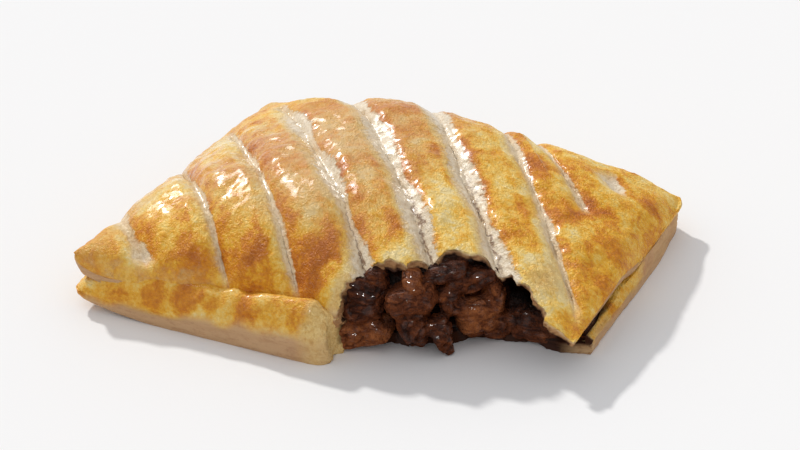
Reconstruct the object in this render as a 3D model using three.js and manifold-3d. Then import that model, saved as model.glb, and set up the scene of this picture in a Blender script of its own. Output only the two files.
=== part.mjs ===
// Steak bake: a rectangular puff pastry parcel with a slashed, domed lid and one bitten corner.
//
// Frame: millimetres, +X along the parcel, -Y is the long front side, +Z up, and z = 0 is the
// flat underside. The origin lies under the middle of the whole parcel. The parcel has three
// pieces: the base sheet with its puffed front rim, the lid, and the steak filling that runs
// through the food between them and shows at the bite.

import * as THREE from 'three';
import { mergeVertices } from 'three/addons/utils/BufferGeometryUtils.js';
import Module from 'manifold-3d';

const wasm = await Module();
wasm.setup();

// ---------------------------------------------------------------- driving dimensions

const LENGTH = 132; // whole parcel along X
const WIDTH = 101.4; // whole parcel along Y
const TOP_HEIGHT = 33.9; // crown of the lid
const EDGE_HEIGHT = 12.7; // top of the lid round its rim
const SEAM_HEIGHT = 7.8; // where the lid sits on the base
const LID_THICKNESS = 3.9; // of one loaf of the lid, measured straight down
const LID_BESIDE_BITE = 2.4; // the same beside the left half of the bite
const LID_THIN = 1.5; // and beside its right half
const LID_UNDER_CUT = 2.0; // least thickness of the lid under a cut
const LID_EDGE_LEAST = 1.2; // and at its edge
const FLOOR_THICKNESS = 3; // of the base sheet under the filling
const GAP = 0.3; // free space between neighbouring pieces

const CORNER_ROUNDING = 44; // power of the rounded rectangle seen from above
const BACK_RIGHT_ROUNDING = 20; // and of its back right corner, which is rounder
const CORNER_LIFT = 3.9; // how far the front left corner curls up
const LIFT_START = { x: -38, y: -15 }; // where the curl begins
const LIFT_RUN = { x: 28, y: 34 }; // and how far it takes to reach its full height

// the lid's front edge stands back from the base's, less at the left corner than past the middle
const LID_SETBACK = { corner: 1.5, middle: 6.6, back: 0.9 };

// each side of the dome: how far in it reaches its full height, and how full its curve is
const DOME = {
  front: { width: 30.3, fullness: 1.69 },
  back: { width: 33.2, fullness: 2.48 },
  left: { width: 69.2, fullness: 2.32 },
  right: { width: 75.5, fullness: 1.35 },
};
const DOME_STEEPNESS = 0.75; // below 1 the dome leaves its rim steeply
// how much the lid's rim stands above or below EDGE_HEIGHT there
const RIM_CHANGE = { backLeft: 1.4, backRight: -3.9, front: -1.8, tip: -2.0 };
const LID_RAISED = 1.6; // where the lid has come away from the base beside the bite
const BASE_SUNK = 2.4; // and the base from the lid

const SLASH_TURN = THREE.MathUtils.degToRad(47); // of the cuts, from the X axis towards -Y
const SLASH_DEPTH = 2.9;
const LOAF_CROWN = 0.5; // of the lid between two cuts, above the dome
const SLASH_SHOULDER = 5.6; // from the middle of a cut to the top of the loaf beside it
const SLASH_BACK_SHARE = 0.62; // how deep the cuts are behind the crown, as a share of the front
const SLASH_PINCH = 0.28; // how much a cut's width comes and goes along it
const SLASH_PINCH_RUN = 5.5; // how long one swelling is, over 2 pi
const SLASH_END_RUN = 7; // how far a cut takes to open or close at its ends
const SLASH_FULLNESS = 1.6; // power of a loaf's side, above 1 is round
const SLASH_DRIFT_START = 20; // where along its line a drifting cut is at its own distance
// each cut: its distance from the origin, how much it drifts away along its line, the stretch
// that opened in the oven, and its width against the widest ones
const SLASHES = [
  { across: -61.4, drift: 0.14, from: -60, to: 6, width: 0.5 },
  { across: -45.8, drift: 0.02, from: -60, to: 24, width: 0.42 },
  { across: -30.7, drift: 0, from: -60, to: 34, width: 0.46 },
  { across: -14.7, drift: 0, from: -60, to: 60, width: 0.64 },
  { across: 1.6, drift: -0.03, from: -60, to: 60, width: 1 },
  { across: 18.4, drift: -0.075, from: -60, to: 70, width: 1 },
  { across: 34.9, drift: -0.1, from: -60, to: 70, width: 0.56 },
  { across: 46.4, drift: 0, from: -60, to: 28, width: 0.46 },
  { across: 59.4, drift: 0, from: 4, to: 20, width: 0.75 },
];

// crust left solid round the filling, measured in from each side of the base
const CRUST = { left: 12, right: 5, front: 11, back: 11 };
const THIN_RIGHT_CRUST = 3.2; // how much thinner it is beside the bite

// circles seen from above, of which each sheet's bite is made
const LID_BITE = [
  { x: 22, y: -46, r: 13.4 },
  { x: 42, y: -44, r: 21.4 },
  { x: 63, y: -52, r: 20.6 },
];
const BASE_BITE = [
  { x: 22, y: -47.5, r: 14 },
  { x: 33.5, y: -44, r: 15 },
  { x: 50, y: -45.6, r: 25 },
  { x: 70, y: -44.5, r: 25 },
];
const TOOTH_WIDTH = 7.5;
const TOOTH_DEPTH = 1.0;

// steak pieces that stand out of the filling at the bite: middle, half sizes, turn about the
// upright, tilt to the right, and how pointed the piece is below
const CHUNKS = [
  { at: [15.6, -33.8, 18.6], half: [2.6, 3.2, 2.4], turn: 20, tilt: 5, pointed: 0 },
  { at: [13.6, -35.2, 15.2], half: [4.8, 4.6, 3.8], turn: 10, tilt: -8, pointed: 0 },
  { at: [13.0, -36.2, 10.4], half: [5.2, 4.8, 3.6], turn: 35, tilt: 6, pointed: 0 },
  { at: [12.4, -37.2, 4.6], half: [7.2, 5.0, 4.2], turn: 20, tilt: 8, pointed: 0 },
  { at: [24.8, -33.0, 18.2], half: [2.6, 3.4, 3.2], turn: 28, tilt: 0, pointed: 0 },
  { at: [24.2, -33.2, 13.8], half: [5.8, 5.4, 4.6], turn: 28, tilt: 8, pointed: 0 },
  { at: [25.2, -33.8, 6.8], half: [3.9, 5.0, 6.2], turn: 22, tilt: 6, pointed: 0.7 },
  { at: [30.6, -25.6, 19.4], half: [6.2, 4.6, 2.9], turn: 15, tilt: 14, pointed: 0 },
  { at: [36.4, -23.6, 17.0], half: [7.2, 4.4, 2.3], turn: 28, tilt: 17, pointed: 0 },
  { at: [31.8, -26.8, 12.4], half: [3.1, 4.6, 4.8], turn: 20, tilt: 8, pointed: 0 },
  { at: [40.6, -21.8, 12.2], half: [2.6, 4.2, 5.0], turn: 34, tilt: -10, pointed: 0 },
  { at: [37.2, -24.4, 8.4], half: [5.0, 4.8, 4.8], turn: 28, tilt: 6, pointed: 0 },
  { at: [42.2, -19.8, 5.0], half: [3.6, 4.2, 3.8], turn: 40, tilt: -10, pointed: 0 },
  { at: [32.2, -32.8, 4.8], half: [3.0, 3.4, 5.2], turn: 30, tilt: 20, pointed: 1 },
  { at: [36.4, -22.6, 3.7], half: [3.6, 3.8, 2.2], turn: 28, tilt: 0, pointed: 0.2 },
  { at: [40.6, -21.0, 2.6], half: [3.4, 3.6, 2.3], turn: 28, tilt: 0, pointed: 0.3 },
  { at: [49.4, -16.4, 5.0], half: [6.2, 4.6, 2.8], turn: 18, tilt: -14, pointed: 0 },
  { at: [52.6, -17.8, 2.8], half: [7.4, 4.0, 2.0], turn: 16, tilt: -8, pointed: 0 },
  { at: [59.4, -17.6, 2.8], half: [5.2, 3.6, 1.8], turn: 12, tilt: -8, pointed: 0 },
  { at: [46.4, -18.6, 3.2], half: [3.2, 3.6, 2.6], turn: 28, tilt: 0, pointed: 0.2 },
];
const CHUNK_SOFTNESS = 3.0; // power of a piece's round-cornered form

// ---------------------------------------------------------------- small numbers helpers

const clamp01 = (value) => Math.min(1, Math.max(0, value));

function smoothStep(from, to, value) {
  const t = clamp01((value - from) / (to - from));
  return t * t * (3 - 2 * t);
}

const mix = (a, b, t) => a + (b - a) * t;

// slow waves of mixed length, so that no stretch of pastry is quite like the next
function unevenness(x, y, waveLength) {
  const k = (2 * Math.PI) / waveLength;
  const first = Math.sin(k * (x + 0.3 * y) + 1.3) * Math.cos(k * (0.8 * y - 0.2 * x) + 0.4);
  const second = Math.sin(k * (0.57 * x - 1.31 * y) + 2.1);
  const third = Math.sin(k * (1.63 * x + 0.49 * y) + 4.2);
  return 0.5 * first + 0.3 * second + 0.2 * third;
}

// ---------------------------------------------------------------- outline from above

const HALF_LENGTH = LENGTH / 2;
const HALF_WIDTH = WIDTH / 2;

// a point of the unit square, with the square's four corners drawn in a little
function roundCorners(u, v) {
  const reach = Math.max(Math.abs(u), Math.abs(v));
  if (reach === 0) return [0, 0];
  const power = u > 0 && v > 0 ? BACK_RIGHT_ROUNDING : CORNER_ROUNDING;
  const sum = (Math.abs(u) / reach) ** power + (Math.abs(v) / reach) ** power;
  const pull = 1 + (sum ** (-1 / power) - 1) * reach ** 4;
  return [u * pull, v * pull];
}

const LID_BACK = HALF_WIDTH - LID_SETBACK.back;

function lidFront(x) {
  const towardsMiddle = smoothStep(-HALF_LENGTH, -5, x);
  return -HALF_WIDTH + mix(LID_SETBACK.corner, LID_SETBACK.middle, towardsMiddle);
}

// ---------------------------------------------------------------- heights

function cornerLift(x, y) {
  const alongLength = clamp01((LIFT_START.x - x) / LIFT_RUN.x);
  const alongWidth = clamp01((LIFT_START.y - y) / LIFT_RUN.y);
  return CORNER_LIFT * alongLength ** 2 * alongWidth;
}

// at the right end, near the bite, the two sheets have come apart
const openSeam = (x, y) => smoothStep(44, 58, x) * (1 - smoothStep(-6, 14, y));
const lidUnderside = (x, y) => SEAM_HEIGHT + LID_RAISED * openSeam(x, y);

// at the back of the right end, the two sheets have baked into one smooth side
const flushSide = (x, y) => smoothStep(2, 12, y) * smoothStep(50, 60, x);

// a side of the dome: 0 at the rim, 1 from the given distance inwards
function domeSide(inward, side) {
  const left = 1 - clamp01(inward / side.width);
  return (1 - left ** side.fullness) ** DOME_STEEPNESS;
}

function domeHeight(x, y) {
  const front = domeSide(y - lidFront(x), DOME.front);
  const back = domeSide(LID_BACK - y, DOME.back);
  const left = domeSide(x + HALF_LENGTH, DOME.left);
  const right = domeSide(HALF_LENGTH - x, DOME.right);
  const rise = front * back * left * right;
  const backShare = clamp01(y / HALF_WIDTH) ** 2;
  const leftShare = clamp01(-x / HALF_LENGTH) ** 2;
  const rightShare = clamp01(x / HALF_LENGTH) ** 2;
  const frontShare = clamp01(-y / HALF_WIDTH) ** 4 * smoothStep(-64, -42, x);
  const tipShare = smoothStep(36, HALF_LENGTH, x) * (1 - smoothStep(-28, 4, y));
  const backChange = RIM_CHANGE.backLeft * leftShare + RIM_CHANGE.backRight * rightShare;
  const frontChange = RIM_CHANGE.front * frontShare + RIM_CHANGE.tip * tipShare;
  const rim = EDGE_HEIGHT + backShare * backChange + frontChange;
  return rim + (TOP_HEIGHT - rim) * rise + cornerLift(x, y) * (1 - rise);
}

// how far the lid's top curls down to its edge: round on the left and at the back right, thin
// beside the bite
function edgeDrop(x, y) {
  const inward = Math.min(HALF_LENGTH - Math.abs(x), y - lidFront(x), LID_BACK - y);
  const roundRight = smoothStep(48, 60, x) * smoothStep(-2, 16, y);
  const plump = Math.max(1 - smoothStep(-60, -44, x), roundRight);
  const thin = smoothStep(44, 60, x) * (1 - smoothStep(-12, 4, y));
  const width = mix(mix(2.0, 5.0, plump), 1.2, thin);
  const drop = mix(mix(1.3, 3.3, plump), 0.5, thin);
  const curl = 1 - clamp01(inward / width);
  return drop * (1 - Math.sqrt(1 - curl ** 2));
}

// the cuts fade out towards the lid's edges
function rimFade(x, y) {
  const left = mix(0.35, 1, smoothStep(0, 14, x + HALF_LENGTH)) * smoothStep(-2, 2, x + HALF_LENGTH);
  const right = smoothStep(0, 8, HALF_LENGTH - x);
  return left * right * smoothStep(-1, 5, y - lidFront(x)) * smoothStep(-1, 6, LID_BACK - y);
}

// how deep the cuts sink the lid's top at a point; below zero where a loaf stands proud
function slashDepth(x, y) {
  const across = x * Math.sin(SLASH_TURN) + y * Math.cos(SLASH_TURN);
  const along = x * Math.cos(SLASH_TURN) - y * Math.sin(SLASH_TURN);
  let deepest = 0;
  SLASHES.forEach((slash, number) => {
    const distance = across - slash.across - slash.drift * (along - SLASH_DRIFT_START);
    const swelling = Math.sin(along / SLASH_PINCH_RUN + 2.4 * number);
    const width = slash.width * (1 + SLASH_PINCH * swelling);
    const side = clamp01(1 - Math.abs(distance) / (SLASH_SHOULDER * mix(0.8, 1, width)));
    const opening = smoothStep(slash.from, slash.from + SLASH_END_RUN, along);
    const closing = 1 - smoothStep(slash.to - SLASH_END_RUN, slash.to, along);
    const depth = side ** SLASH_FULLNESS * opening * closing * mix(0.75, 1, width);
    deepest = Math.max(deepest, depth);
  });
  deepest *= mix(SLASH_BACK_SHARE, 1, smoothStep(-14, 10, -y));
  return ((SLASH_DEPTH + LOAF_CROWN) * deepest - LOAF_CROWN) * rimFade(x, y);
}

function lidTopHeight(x, y) {
  const waves = 0.5 * unevenness(x, y, 31);
  const height = domeHeight(x, y) - edgeDrop(x, y) - slashDepth(x, y) + waves;
  return Math.max(height, lidUnderside(x, y) + LID_EDGE_LEAST);
}

// the space under the lid follows the dome; the lid over it is thinnest beside the bite
function cavityTopHeight(x, y) {
  const bittenEnd = smoothStep(25, 31, x) * (1 - smoothStep(-20, -8, y));
  const besideBite = smoothStep(9, 15, x) * (1 - smoothStep(-26, -16, y));
  const leftThickness = mix(LID_THICKNESS, LID_BESIDE_BITE, besideBite);
  const thickness = mix(leftThickness, LID_THIN, bittenEnd);
  const whole = domeHeight(x, y) - thickness - edgeDrop(x, y);
  const roof = Math.min(whole, lidTopHeight(x, y) - LID_UNDER_CUT);
  return Math.max(roof, lidUnderside(x, y) + 0.2);
}

// ---------------------------------------------------------------- closed meshes from rings

class Skin {
  constructor() {
    this.positions = [];
    this.triangles = [];
  }

  point(x, y, z) {
    this.positions.push(x, y, z);
    return this.positions.length / 3 - 1;
  }

  ring(points) {
    return points.map(([x, y, z]) => this.point(x, y, z));
  }

  // rings run counter-clockwise seen from above, the outside is to their right
  bridge(lower, upper) {
    for (let k = 0; k < lower.length; k++) {
      const next = (k + 1) % lower.length;
      this.triangles.push(lower[k], lower[next], upper[next]);
      this.triangles.push(lower[k], upper[next], upper[k]);
    }
  }

  closeBelow(ring, x, y, z) {
    const middle = this.point(x, y, z);
    ring.forEach((corner, k) => this.triangles.push(middle, ring[(k + 1) % ring.length], corner));
  }

  closeAbove(ring, x, y, z) {
    const middle = this.point(x, y, z);
    ring.forEach((corner, k) => this.triangles.push(middle, corner, ring[(k + 1) % ring.length]));
  }

  // a grid seen from above, with its cells split along the direction of the cuts
  blanket(columns, rows, place) {
    const grid = [];
    for (let j = 0; j <= rows; j++) {
      const line = [];
      for (let i = 0; i <= columns; i++) {
        line.push(this.point(...place((2 * i) / columns - 1, (2 * j) / rows - 1)));
      }
      grid.push(line);
    }
    for (let j = 0; j < rows; j++) {
      for (let i = 0; i < columns; i++) {
        this.triangles.push(grid[j][i], grid[j][i + 1], grid[j + 1][i]);
        this.triangles.push(grid[j][i + 1], grid[j + 1][i + 1], grid[j + 1][i]);
      }
    }
    return borderWalk(columns, rows).map(([i, j]) => grid[j][i]);
  }

  solid() {
    const geometry = new THREE.BufferGeometry();
    geometry.setAttribute('position', new THREE.Float32BufferAttribute(this.positions, 3));
    geometry.setIndex(this.triangles);
    return solidFromGeometry(geometry);
  }
}

// the border cells of a grid, counter-clockwise from its front left corner
function borderWalk(columns, rows) {
  const walk = [];
  for (let i = 0; i < columns; i++) walk.push([i, 0]);
  for (let j = 0; j < rows; j++) walk.push([columns, j]);
  for (let i = columns; i > 0; i--) walk.push([i, rows]);
  for (let j = rows; j > 0; j--) walk.push([0, j]);
  return walk;
}

function solidFromGeometry(geometry) {
  geometry.deleteAttribute('normal');
  geometry.deleteAttribute('uv');
  const merged = mergeVertices(geometry, 1e-4);
  return new wasm.Manifold(
    new wasm.Mesh({
      numProp: 3,
      vertProperties: new Float32Array(merged.attributes.position.array),
      triVerts: new Uint32Array(merged.index.array),
    }),
  );
}

// ---------------------------------------------------------------- the lid

const LID_COLUMNS = 46;
const LID_ROWS = 32;

function lidPlan(u, v) {
  const [across, deep] = roundCorners(u, v);
  const x = across * HALF_LENGTH;
  return [x, mix(lidFront(x), LID_BACK, (deep + 1) / 2)];
}

// torn layers of the lid's cut edge, from its top to the seam: share of the height and inset
const LID_EDGE_LAYERS = [
  { share: 0.68, inset: -0.3 },
  { share: 0.36, inset: 0.3 },
  { share: 0.0, inset: 0.1 },
];

// outer form of the lid, solid right through; grown is how much larger it is made all over
function lidOutside(grown) {
  const skin = new Skin();
  const place = (u, v) => {
    const [x, y] = lidPlan(u, v);
    const border = Math.max(Math.abs(u), Math.abs(v)) > 0.999;
    const [outX, outY] = border ? pushOut(x, y, u, v, grown, grown) : [x, y];
    return [outX, outY, lidTopHeight(x, y) + grown];
  };
  const top = skin.blanket(LID_COLUMNS, LID_ROWS, place);
  const border = borderWalk(LID_COLUMNS, LID_ROWS).map(([i, j]) => [
    (2 * i) / LID_COLUMNS - 1,
    (2 * j) / LID_ROWS - 1,
  ]);
  const edgeRing = (share, inset) =>
    skin.ring(
      border.map(([u, v]) => {
        const [x, y] = lidPlan(u, v);
        const plump = 1 - smoothStep(-64, -57, x);
        const tuck = mix(0.5, 2.2, plump) * (1 - flushSide(x, y)) * (1 - share) ** 2.4;
        const ragged = inset + 0.3 * unevenness(x, y, 11 + 5 * share);
        const [outX, outY] = pushOut(x, y, u, v, grown - ragged - tuck, grown);
        const low = lidUnderside(x, y) - grown;
        return [outX, outY, mix(low, lidTopHeight(x, y) + grown, share)];
      }),
    );
  let above = top;
  for (const layer of LID_EDGE_LAYERS) {
    const below = edgeRing(layer.share, layer.inset);
    skin.bridge(below, above);
    above = below;
  }
  for (const scale of [0.9, 0.72]) {
    const below = skin.ring(
      border.map(([u, v]) => {
        const [x, y] = lidPlan(u, v);
        return [x * scale, y * scale, lidUnderside(x * scale, y * scale) - grown];
      }),
    );
    skin.bridge(below, above);
    above = below;
  }
  skin.closeBelow(above, 0, 0, lidUnderside(0, 0) - grown);
  return skin.solid();
}

// moves a border point straight out of the side that it lies on, never past the parcel's box
function pushOut(x, y, u, v, distance, grown) {
  const sideX = Math.sign(u) * Math.abs(u) ** 40;
  const sideY = Math.sign(v) * Math.abs(v) ** 40;
  const limitX = HALF_LENGTH + grown;
  const limitY = HALF_WIDTH + grown;
  const outX = Math.min(limitX, Math.max(-limitX, x + sideX * distance));
  const outY = Math.min(limitY, Math.max(-limitY, y + sideY * distance));
  return [outX, outY];
}

// ---------------------------------------------------------------- the space for the filling

const CAVITY_COLUMNS = 22;
const CAVITY_ROWS = 16;

// roof is a function of the height of its top at a point; shrink is how much smaller it is made
function cavity(shrink, roof) {
  const skin = new Skin();
  const left = -HALF_LENGTH + CRUST.left + shrink;
  const right = (y) => HALF_LENGTH - CRUST.right - shrink + THIN_RIGHT_CRUST * (1 - smoothStep(-14, 4, y));
  const front = -HALF_WIDTH + CRUST.front + shrink;
  const back = HALF_WIDTH - CRUST.back - shrink;
  const plan = (u, v) => {
    const [across, deep] = roundCorners(u, v);
    const y = mix(front, back, (deep + 1) / 2);
    return [mix(left, right(y), (across + 1) / 2), y];
  };
  const floor = (x, y) => FLOOR_THICKNESS + cornerLift(x, y) + shrink;
  const top = skin.blanket(CAVITY_COLUMNS, CAVITY_ROWS, (u, v) => {
    const [x, y] = plan(u, v);
    const open = openSeam(x, y);
    const edge = Math.max(Math.abs(u), Math.abs(v)) ** 16 * (1 - open);
    const lowest = SEAM_HEIGHT + 0.6;
    return [x, y, Math.max(mix(roof(x, y), lowest, 0.45 * edge), lowest - 1.5 * open) - shrink];
  });
  const border = borderWalk(CAVITY_COLUMNS, CAVITY_ROWS).map(([i, j]) =>
    plan((2 * i) / CAVITY_COLUMNS - 1, (2 * j) / CAVITY_ROWS - 1),
  );
  const bottom = skin.ring(border.map(([x, y]) => [x, y, floor(x, y)]));
  const inner = skin.ring(border.map(([x, y]) => [x * 0.7, y * 0.7, floor(x * 0.7, y * 0.7)]));
  skin.bridge(bottom, top);
  skin.bridge(inner, bottom);
  skin.closeBelow(inner, 0, 0, floor(0, 0));
  return skin.solid();
}

// ---------------------------------------------------------------- the base

const BASE_SEGMENTS_LONG = 36;
const BASE_SEGMENTS_SHORT = 26;

// the front side puffed up outside the crimp, and thins out towards the left corner
function frontRim(x, y) {
  return smoothStep(36, 42, -y) * smoothStep(-69, -48, x);
}

// rings of the base from the plate up over its side and in to the filling: inset and height
// with a plain edge, and the same with the puffed front rim
const BASE_RINGS = [
  { inset: 0.5, plain: 0.0, rimInset: 0.5, rim: 0.0 },
  { inset: 0.1, plain: 1.3, rimInset: 0.1, rim: 1.5 },
  { inset: 0.6, plain: 2.6, rimInset: 0.5, rim: 3.0 },
  { inset: 0.2, plain: 4.0, rimInset: 0.0, rim: 4.7 },
  { inset: 0.6, plain: 5.4, rimInset: 0.5, rim: 6.6 },
  { inset: 1.4, plain: 7.0, rimInset: 1.7, rim: 9.0 },
  { inset: 3.0, plain: 7.4, rimInset: 3.4, rim: 11.2 },
  { inset: 5.4, plain: 7.4, rimInset: 5.2, rim: 12.2 },
  { inset: 8.0, plain: 7.4, rimInset: 7.4, rim: 11.7 },
];

function baseOutside() {
  const skin = new Skin();
  const border = borderWalk(BASE_SEGMENTS_LONG, BASE_SEGMENTS_SHORT).map(([i, j]) =>
    roundCorners((2 * i) / BASE_SEGMENTS_LONG - 1, (2 * j) / BASE_SEGMENTS_SHORT - 1),
  );
  const baseRing = (ring, index) =>
    border.map(([across, deep]) => {
      const edgeX = across * HALF_LENGTH;
      const edgeY = deep * HALF_WIDTH;
      const puff = frontRim(edgeX, edgeY);
      const ragged = index === 0 ? 0 : 0.4 * unevenness(edgeX, edgeY, 9 + 3 * index);
      const farCorner = smoothStep(26, 42, edgeY) * smoothStep(50, 64, edgeX);
      const onSide = index < 6 ? 1 : 0;
      const flush = 1 - 0.8 * flushSide(edgeX, edgeY) * onSide;
      const plainInset = ring.inset * flush + 1.1 * farCorner * onSide;
      const inset = Math.max(0, mix(plainInset, ring.rimInset, puff) + ragged);
      const x = across * (HALF_LENGTH - inset);
      const y = deep * (HALF_WIDTH - inset);
      const waves = 1 + 0.05 * unevenness(edgeX, edgeY, 13) * smoothStep(3, 10, ring.rim);
      const swell = waves * (1 + 0.19 * smoothStep(-32, 5, edgeX));
      const plain = ring.plain - BASE_SUNK * openSeam(x, y) * smoothStep(2, 7, ring.plain);
      const height = mix(plain, ring.rim * swell, puff);
      return [x, y, height + cornerLift(x, y) * (1 - smoothStep(0, 7.4, height))];
    });
  const rings = BASE_RINGS.map((ring, index) => skin.ring(baseRing(ring, index)));
  for (let k = 1; k < rings.length; k++) skin.bridge(rings[k - 1], rings[k]);
  const foot = skin.ring(border.map(([across, deep]) => [across * 42, deep * 30, 0]));
  skin.bridge(foot, rings[0]);
  skin.closeBelow(foot, 0, 0, 0);
  skin.closeAbove(rings[rings.length - 1], 0, 0, SEAM_HEIGHT - GAP);
  return skin.solid();
}

// ---------------------------------------------------------------- the bite

const BITE_SEGMENTS = 40;
const BITE_LEVELS = [-3, 3.5, 7.5, 12, 17, 23, 42];

// one mouthful: an upright plug with tooth marks round it; shrink is how much smaller it is made
function mouthful(circle, shrink) {
  const skin = new Skin();
  const teeth = Math.round((2 * Math.PI * circle.r) / TOOTH_WIDTH);
  const rings = BITE_LEVELS.map((level) => {
    const points = [];
    for (let k = 0; k < BITE_SEGMENTS; k++) {
      const angle = (2 * Math.PI * k) / BITE_SEGMENTS;
      const scallop = TOOTH_DEPTH * (Math.abs(Math.sin((teeth * angle) / 2)) - 0.6);
      const crumb = 0.5 * unevenness(circle.x + 9 * angle, level * 1.7 + circle.y, 12);
      const radius = circle.r + scallop + crumb - shrink;
      points.push([circle.x + radius * Math.cos(angle), circle.y + radius * Math.sin(angle), level]);
    }
    return skin.ring(points);
  });
  for (let k = 1; k < rings.length; k++) skin.bridge(rings[k - 1], rings[k]);
  skin.closeBelow(rings[0], circle.x, circle.y, BITE_LEVELS[0]);
  skin.closeAbove(rings[rings.length - 1], circle.x, circle.y, BITE_LEVELS[BITE_LEVELS.length - 1]);
  return skin.solid();
}

function bite(circles, shrink) {
  return circles.map((circle) => mouthful(circle, shrink)).reduce((all, next) => all.add(next));
}

// ---------------------------------------------------------------- the filling

// the filling has slumped away from the lid behind the right half of the bite
const SLUMP_DEPTH = 10;
const SLUMP_LEFT_AT_END = 0.25; // share of that depth at the right end

function slump(x, y) {
  const behindBite = smoothStep(35, 44, x) * (1 - smoothStep(-13, -3, y));
  return SLUMP_DEPTH * behindBite * mix(1, SLUMP_LEFT_AT_END, smoothStep(50, 63, x));
}

const fillingRoof = (x, y) => cavityTopHeight(x, y) - slump(x, y);

// a lump of stewed steak: a block with soft corners, split a little along its fibres
function steakChunk(chunk, index) {
  const geometry = new THREE.IcosahedronGeometry(1, 2);
  geometry.deleteAttribute('normal');
  geometry.deleteAttribute('uv');
  const lump = mergeVertices(geometry, 1e-4);
  const position = lump.attributes.position;
  const turned = new THREE.Euler(
    THREE.MathUtils.degToRad(14 * Math.sin(2.3 * index)),
    THREE.MathUtils.degToRad(-chunk.tilt),
    THREE.MathUtils.degToRad(chunk.turn),
    'ZYX',
  );
  for (let k = 0; k < position.count; k++) {
    const way = new THREE.Vector3().fromBufferAttribute(position, k);
    const parts = [way.x, way.y, way.z].map((part) => Math.abs(part) ** CHUNK_SOFTNESS);
    const sum = parts[0] + parts[1] + parts[2];
    const dents = 1 + 0.13 * unevenness(5 * way.x + 3.1 * index, 5 * way.y + 4 * way.z, 7);
    const narrow = 1 - 0.75 * chunk.pointed * smoothStep(-0.2, 1, -way.z);
    way.multiplyScalar(sum ** (-1 / CHUNK_SOFTNESS) * dents);
    way.multiply(new THREE.Vector3(...chunk.half)).multiply(new THREE.Vector3(narrow, narrow, 1));
    way.applyEuler(turned);
    position.setXYZ(k, way.x + chunk.at[0], way.y + chunk.at[1], way.z + chunk.at[2]);
  }
  return solidFromGeometry(lump);
}

// ---------------------------------------------------------------- cutting the pieces

const lidBite = bite(LID_BITE, 0);
const baseBite = bite(BASE_BITE, 0);
const fillingSpace = cavity(0, cavityTopHeight);

const lid = lidOutside(0).subtract(fillingSpace).subtract(lidBite);

const base = baseOutside().subtract(lidOutside(GAP)).subtract(fillingSpace).subtract(baseBite);

// the steak may stand out into the bite, but keeps clear of both sheets
const biteAir = bite(LID_BITE, GAP).intersect(bite(BASE_BITE, GAP));
const BELOW_PLATE_DEPTH = 20;
const belowPlate = new THREE.BoxGeometry(LENGTH, WIDTH, BELOW_PLATE_DEPTH);
belowPlate.translate(0, 0, GAP - BELOW_PLATE_DEPTH / 2);
const freeSpace = cavity(GAP, cavityTopHeight).add(biteAir).subtract(solidFromGeometry(belowPlate));
const CHUNK_RECESS = 1.7; // how far the gravy behind the chunks stands back from the base's edge
const gravyCore = cavity(GAP, fillingRoof).subtract(bite(BASE_BITE, -CHUNK_RECESS));
const chunks = CHUNKS.map(steakChunk).reduce((all, next) => all.add(next));
const filling = gravyCore.add(chunks.intersect(freeSpace));

// ---------------------------------------------------------------- named pieces

function largestBody(solid) {
  return solid.decompose().sort((a, b) => b.volume() - a.volume())[0];
}

function pieceMesh(name, solid, colour, roughness) {
  const cut = largestBody(solid).getMesh();
  const geometry = new THREE.BufferGeometry();
  geometry.setAttribute('position', new THREE.Float32BufferAttribute(cut.vertProperties, 3));
  geometry.setIndex(Array.from(cut.triVerts));
  geometry.computeVertexNormals();
  const material = new THREE.MeshStandardMaterial({ color: colour, roughness, metalness: 0 });
  const mesh = new THREE.Mesh(geometry, material);
  mesh.name = name;
  return mesh;
}

const group = new THREE.Group();
group.add(pieceMesh('pastry_base', base, 0xc98f45, 0.6));
group.add(pieceMesh('steak_filling', filling, 0x3c2015, 0.35));
group.add(pieceMesh('pastry_lid', lid, 0xd9a347, 0.45));

export default group;
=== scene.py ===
import itertools
import math

import bpy
import numpy as np
from mathutils import Matrix, Vector


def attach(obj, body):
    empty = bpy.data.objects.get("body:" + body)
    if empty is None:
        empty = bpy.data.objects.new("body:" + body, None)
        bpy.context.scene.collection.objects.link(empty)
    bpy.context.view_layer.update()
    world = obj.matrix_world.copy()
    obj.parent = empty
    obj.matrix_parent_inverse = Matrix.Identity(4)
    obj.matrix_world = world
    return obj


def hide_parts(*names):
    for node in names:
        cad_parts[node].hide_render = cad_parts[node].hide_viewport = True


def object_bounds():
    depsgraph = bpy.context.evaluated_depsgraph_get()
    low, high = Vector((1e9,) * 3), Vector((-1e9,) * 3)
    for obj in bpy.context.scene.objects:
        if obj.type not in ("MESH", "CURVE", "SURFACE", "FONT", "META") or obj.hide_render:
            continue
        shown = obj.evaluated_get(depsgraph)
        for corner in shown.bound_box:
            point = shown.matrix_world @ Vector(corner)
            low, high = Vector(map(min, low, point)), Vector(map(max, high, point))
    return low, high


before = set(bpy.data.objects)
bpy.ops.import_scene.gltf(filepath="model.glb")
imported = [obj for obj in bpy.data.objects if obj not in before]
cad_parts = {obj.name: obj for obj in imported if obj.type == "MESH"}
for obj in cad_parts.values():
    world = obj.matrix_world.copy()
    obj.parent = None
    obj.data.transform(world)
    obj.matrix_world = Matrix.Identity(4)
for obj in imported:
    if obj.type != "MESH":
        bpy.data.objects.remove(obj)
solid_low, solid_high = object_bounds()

MM = 0.001

# ---------------- the photograph's view
# A long lens looks down on the parcel from its front right, a little out of level. The angles
# and the distance were solved from the parcel's outline in an 800 x 450 picture.
CAMERA_AZIMUTH = math.radians(28.57)
CAMERA_ELEVATION = math.radians(29.07)
CAMERA_ROLL = math.radians(-3.2)
CAMERA_DISTANCE = 0.49688
CAMERA_TARGET = Vector((-0.00676, 0.02019, 0.0))
CAMERA_LENS = 81.0
CAMERA_SENSOR = 36.0
CAMERA_NEAR = 0.01

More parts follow.
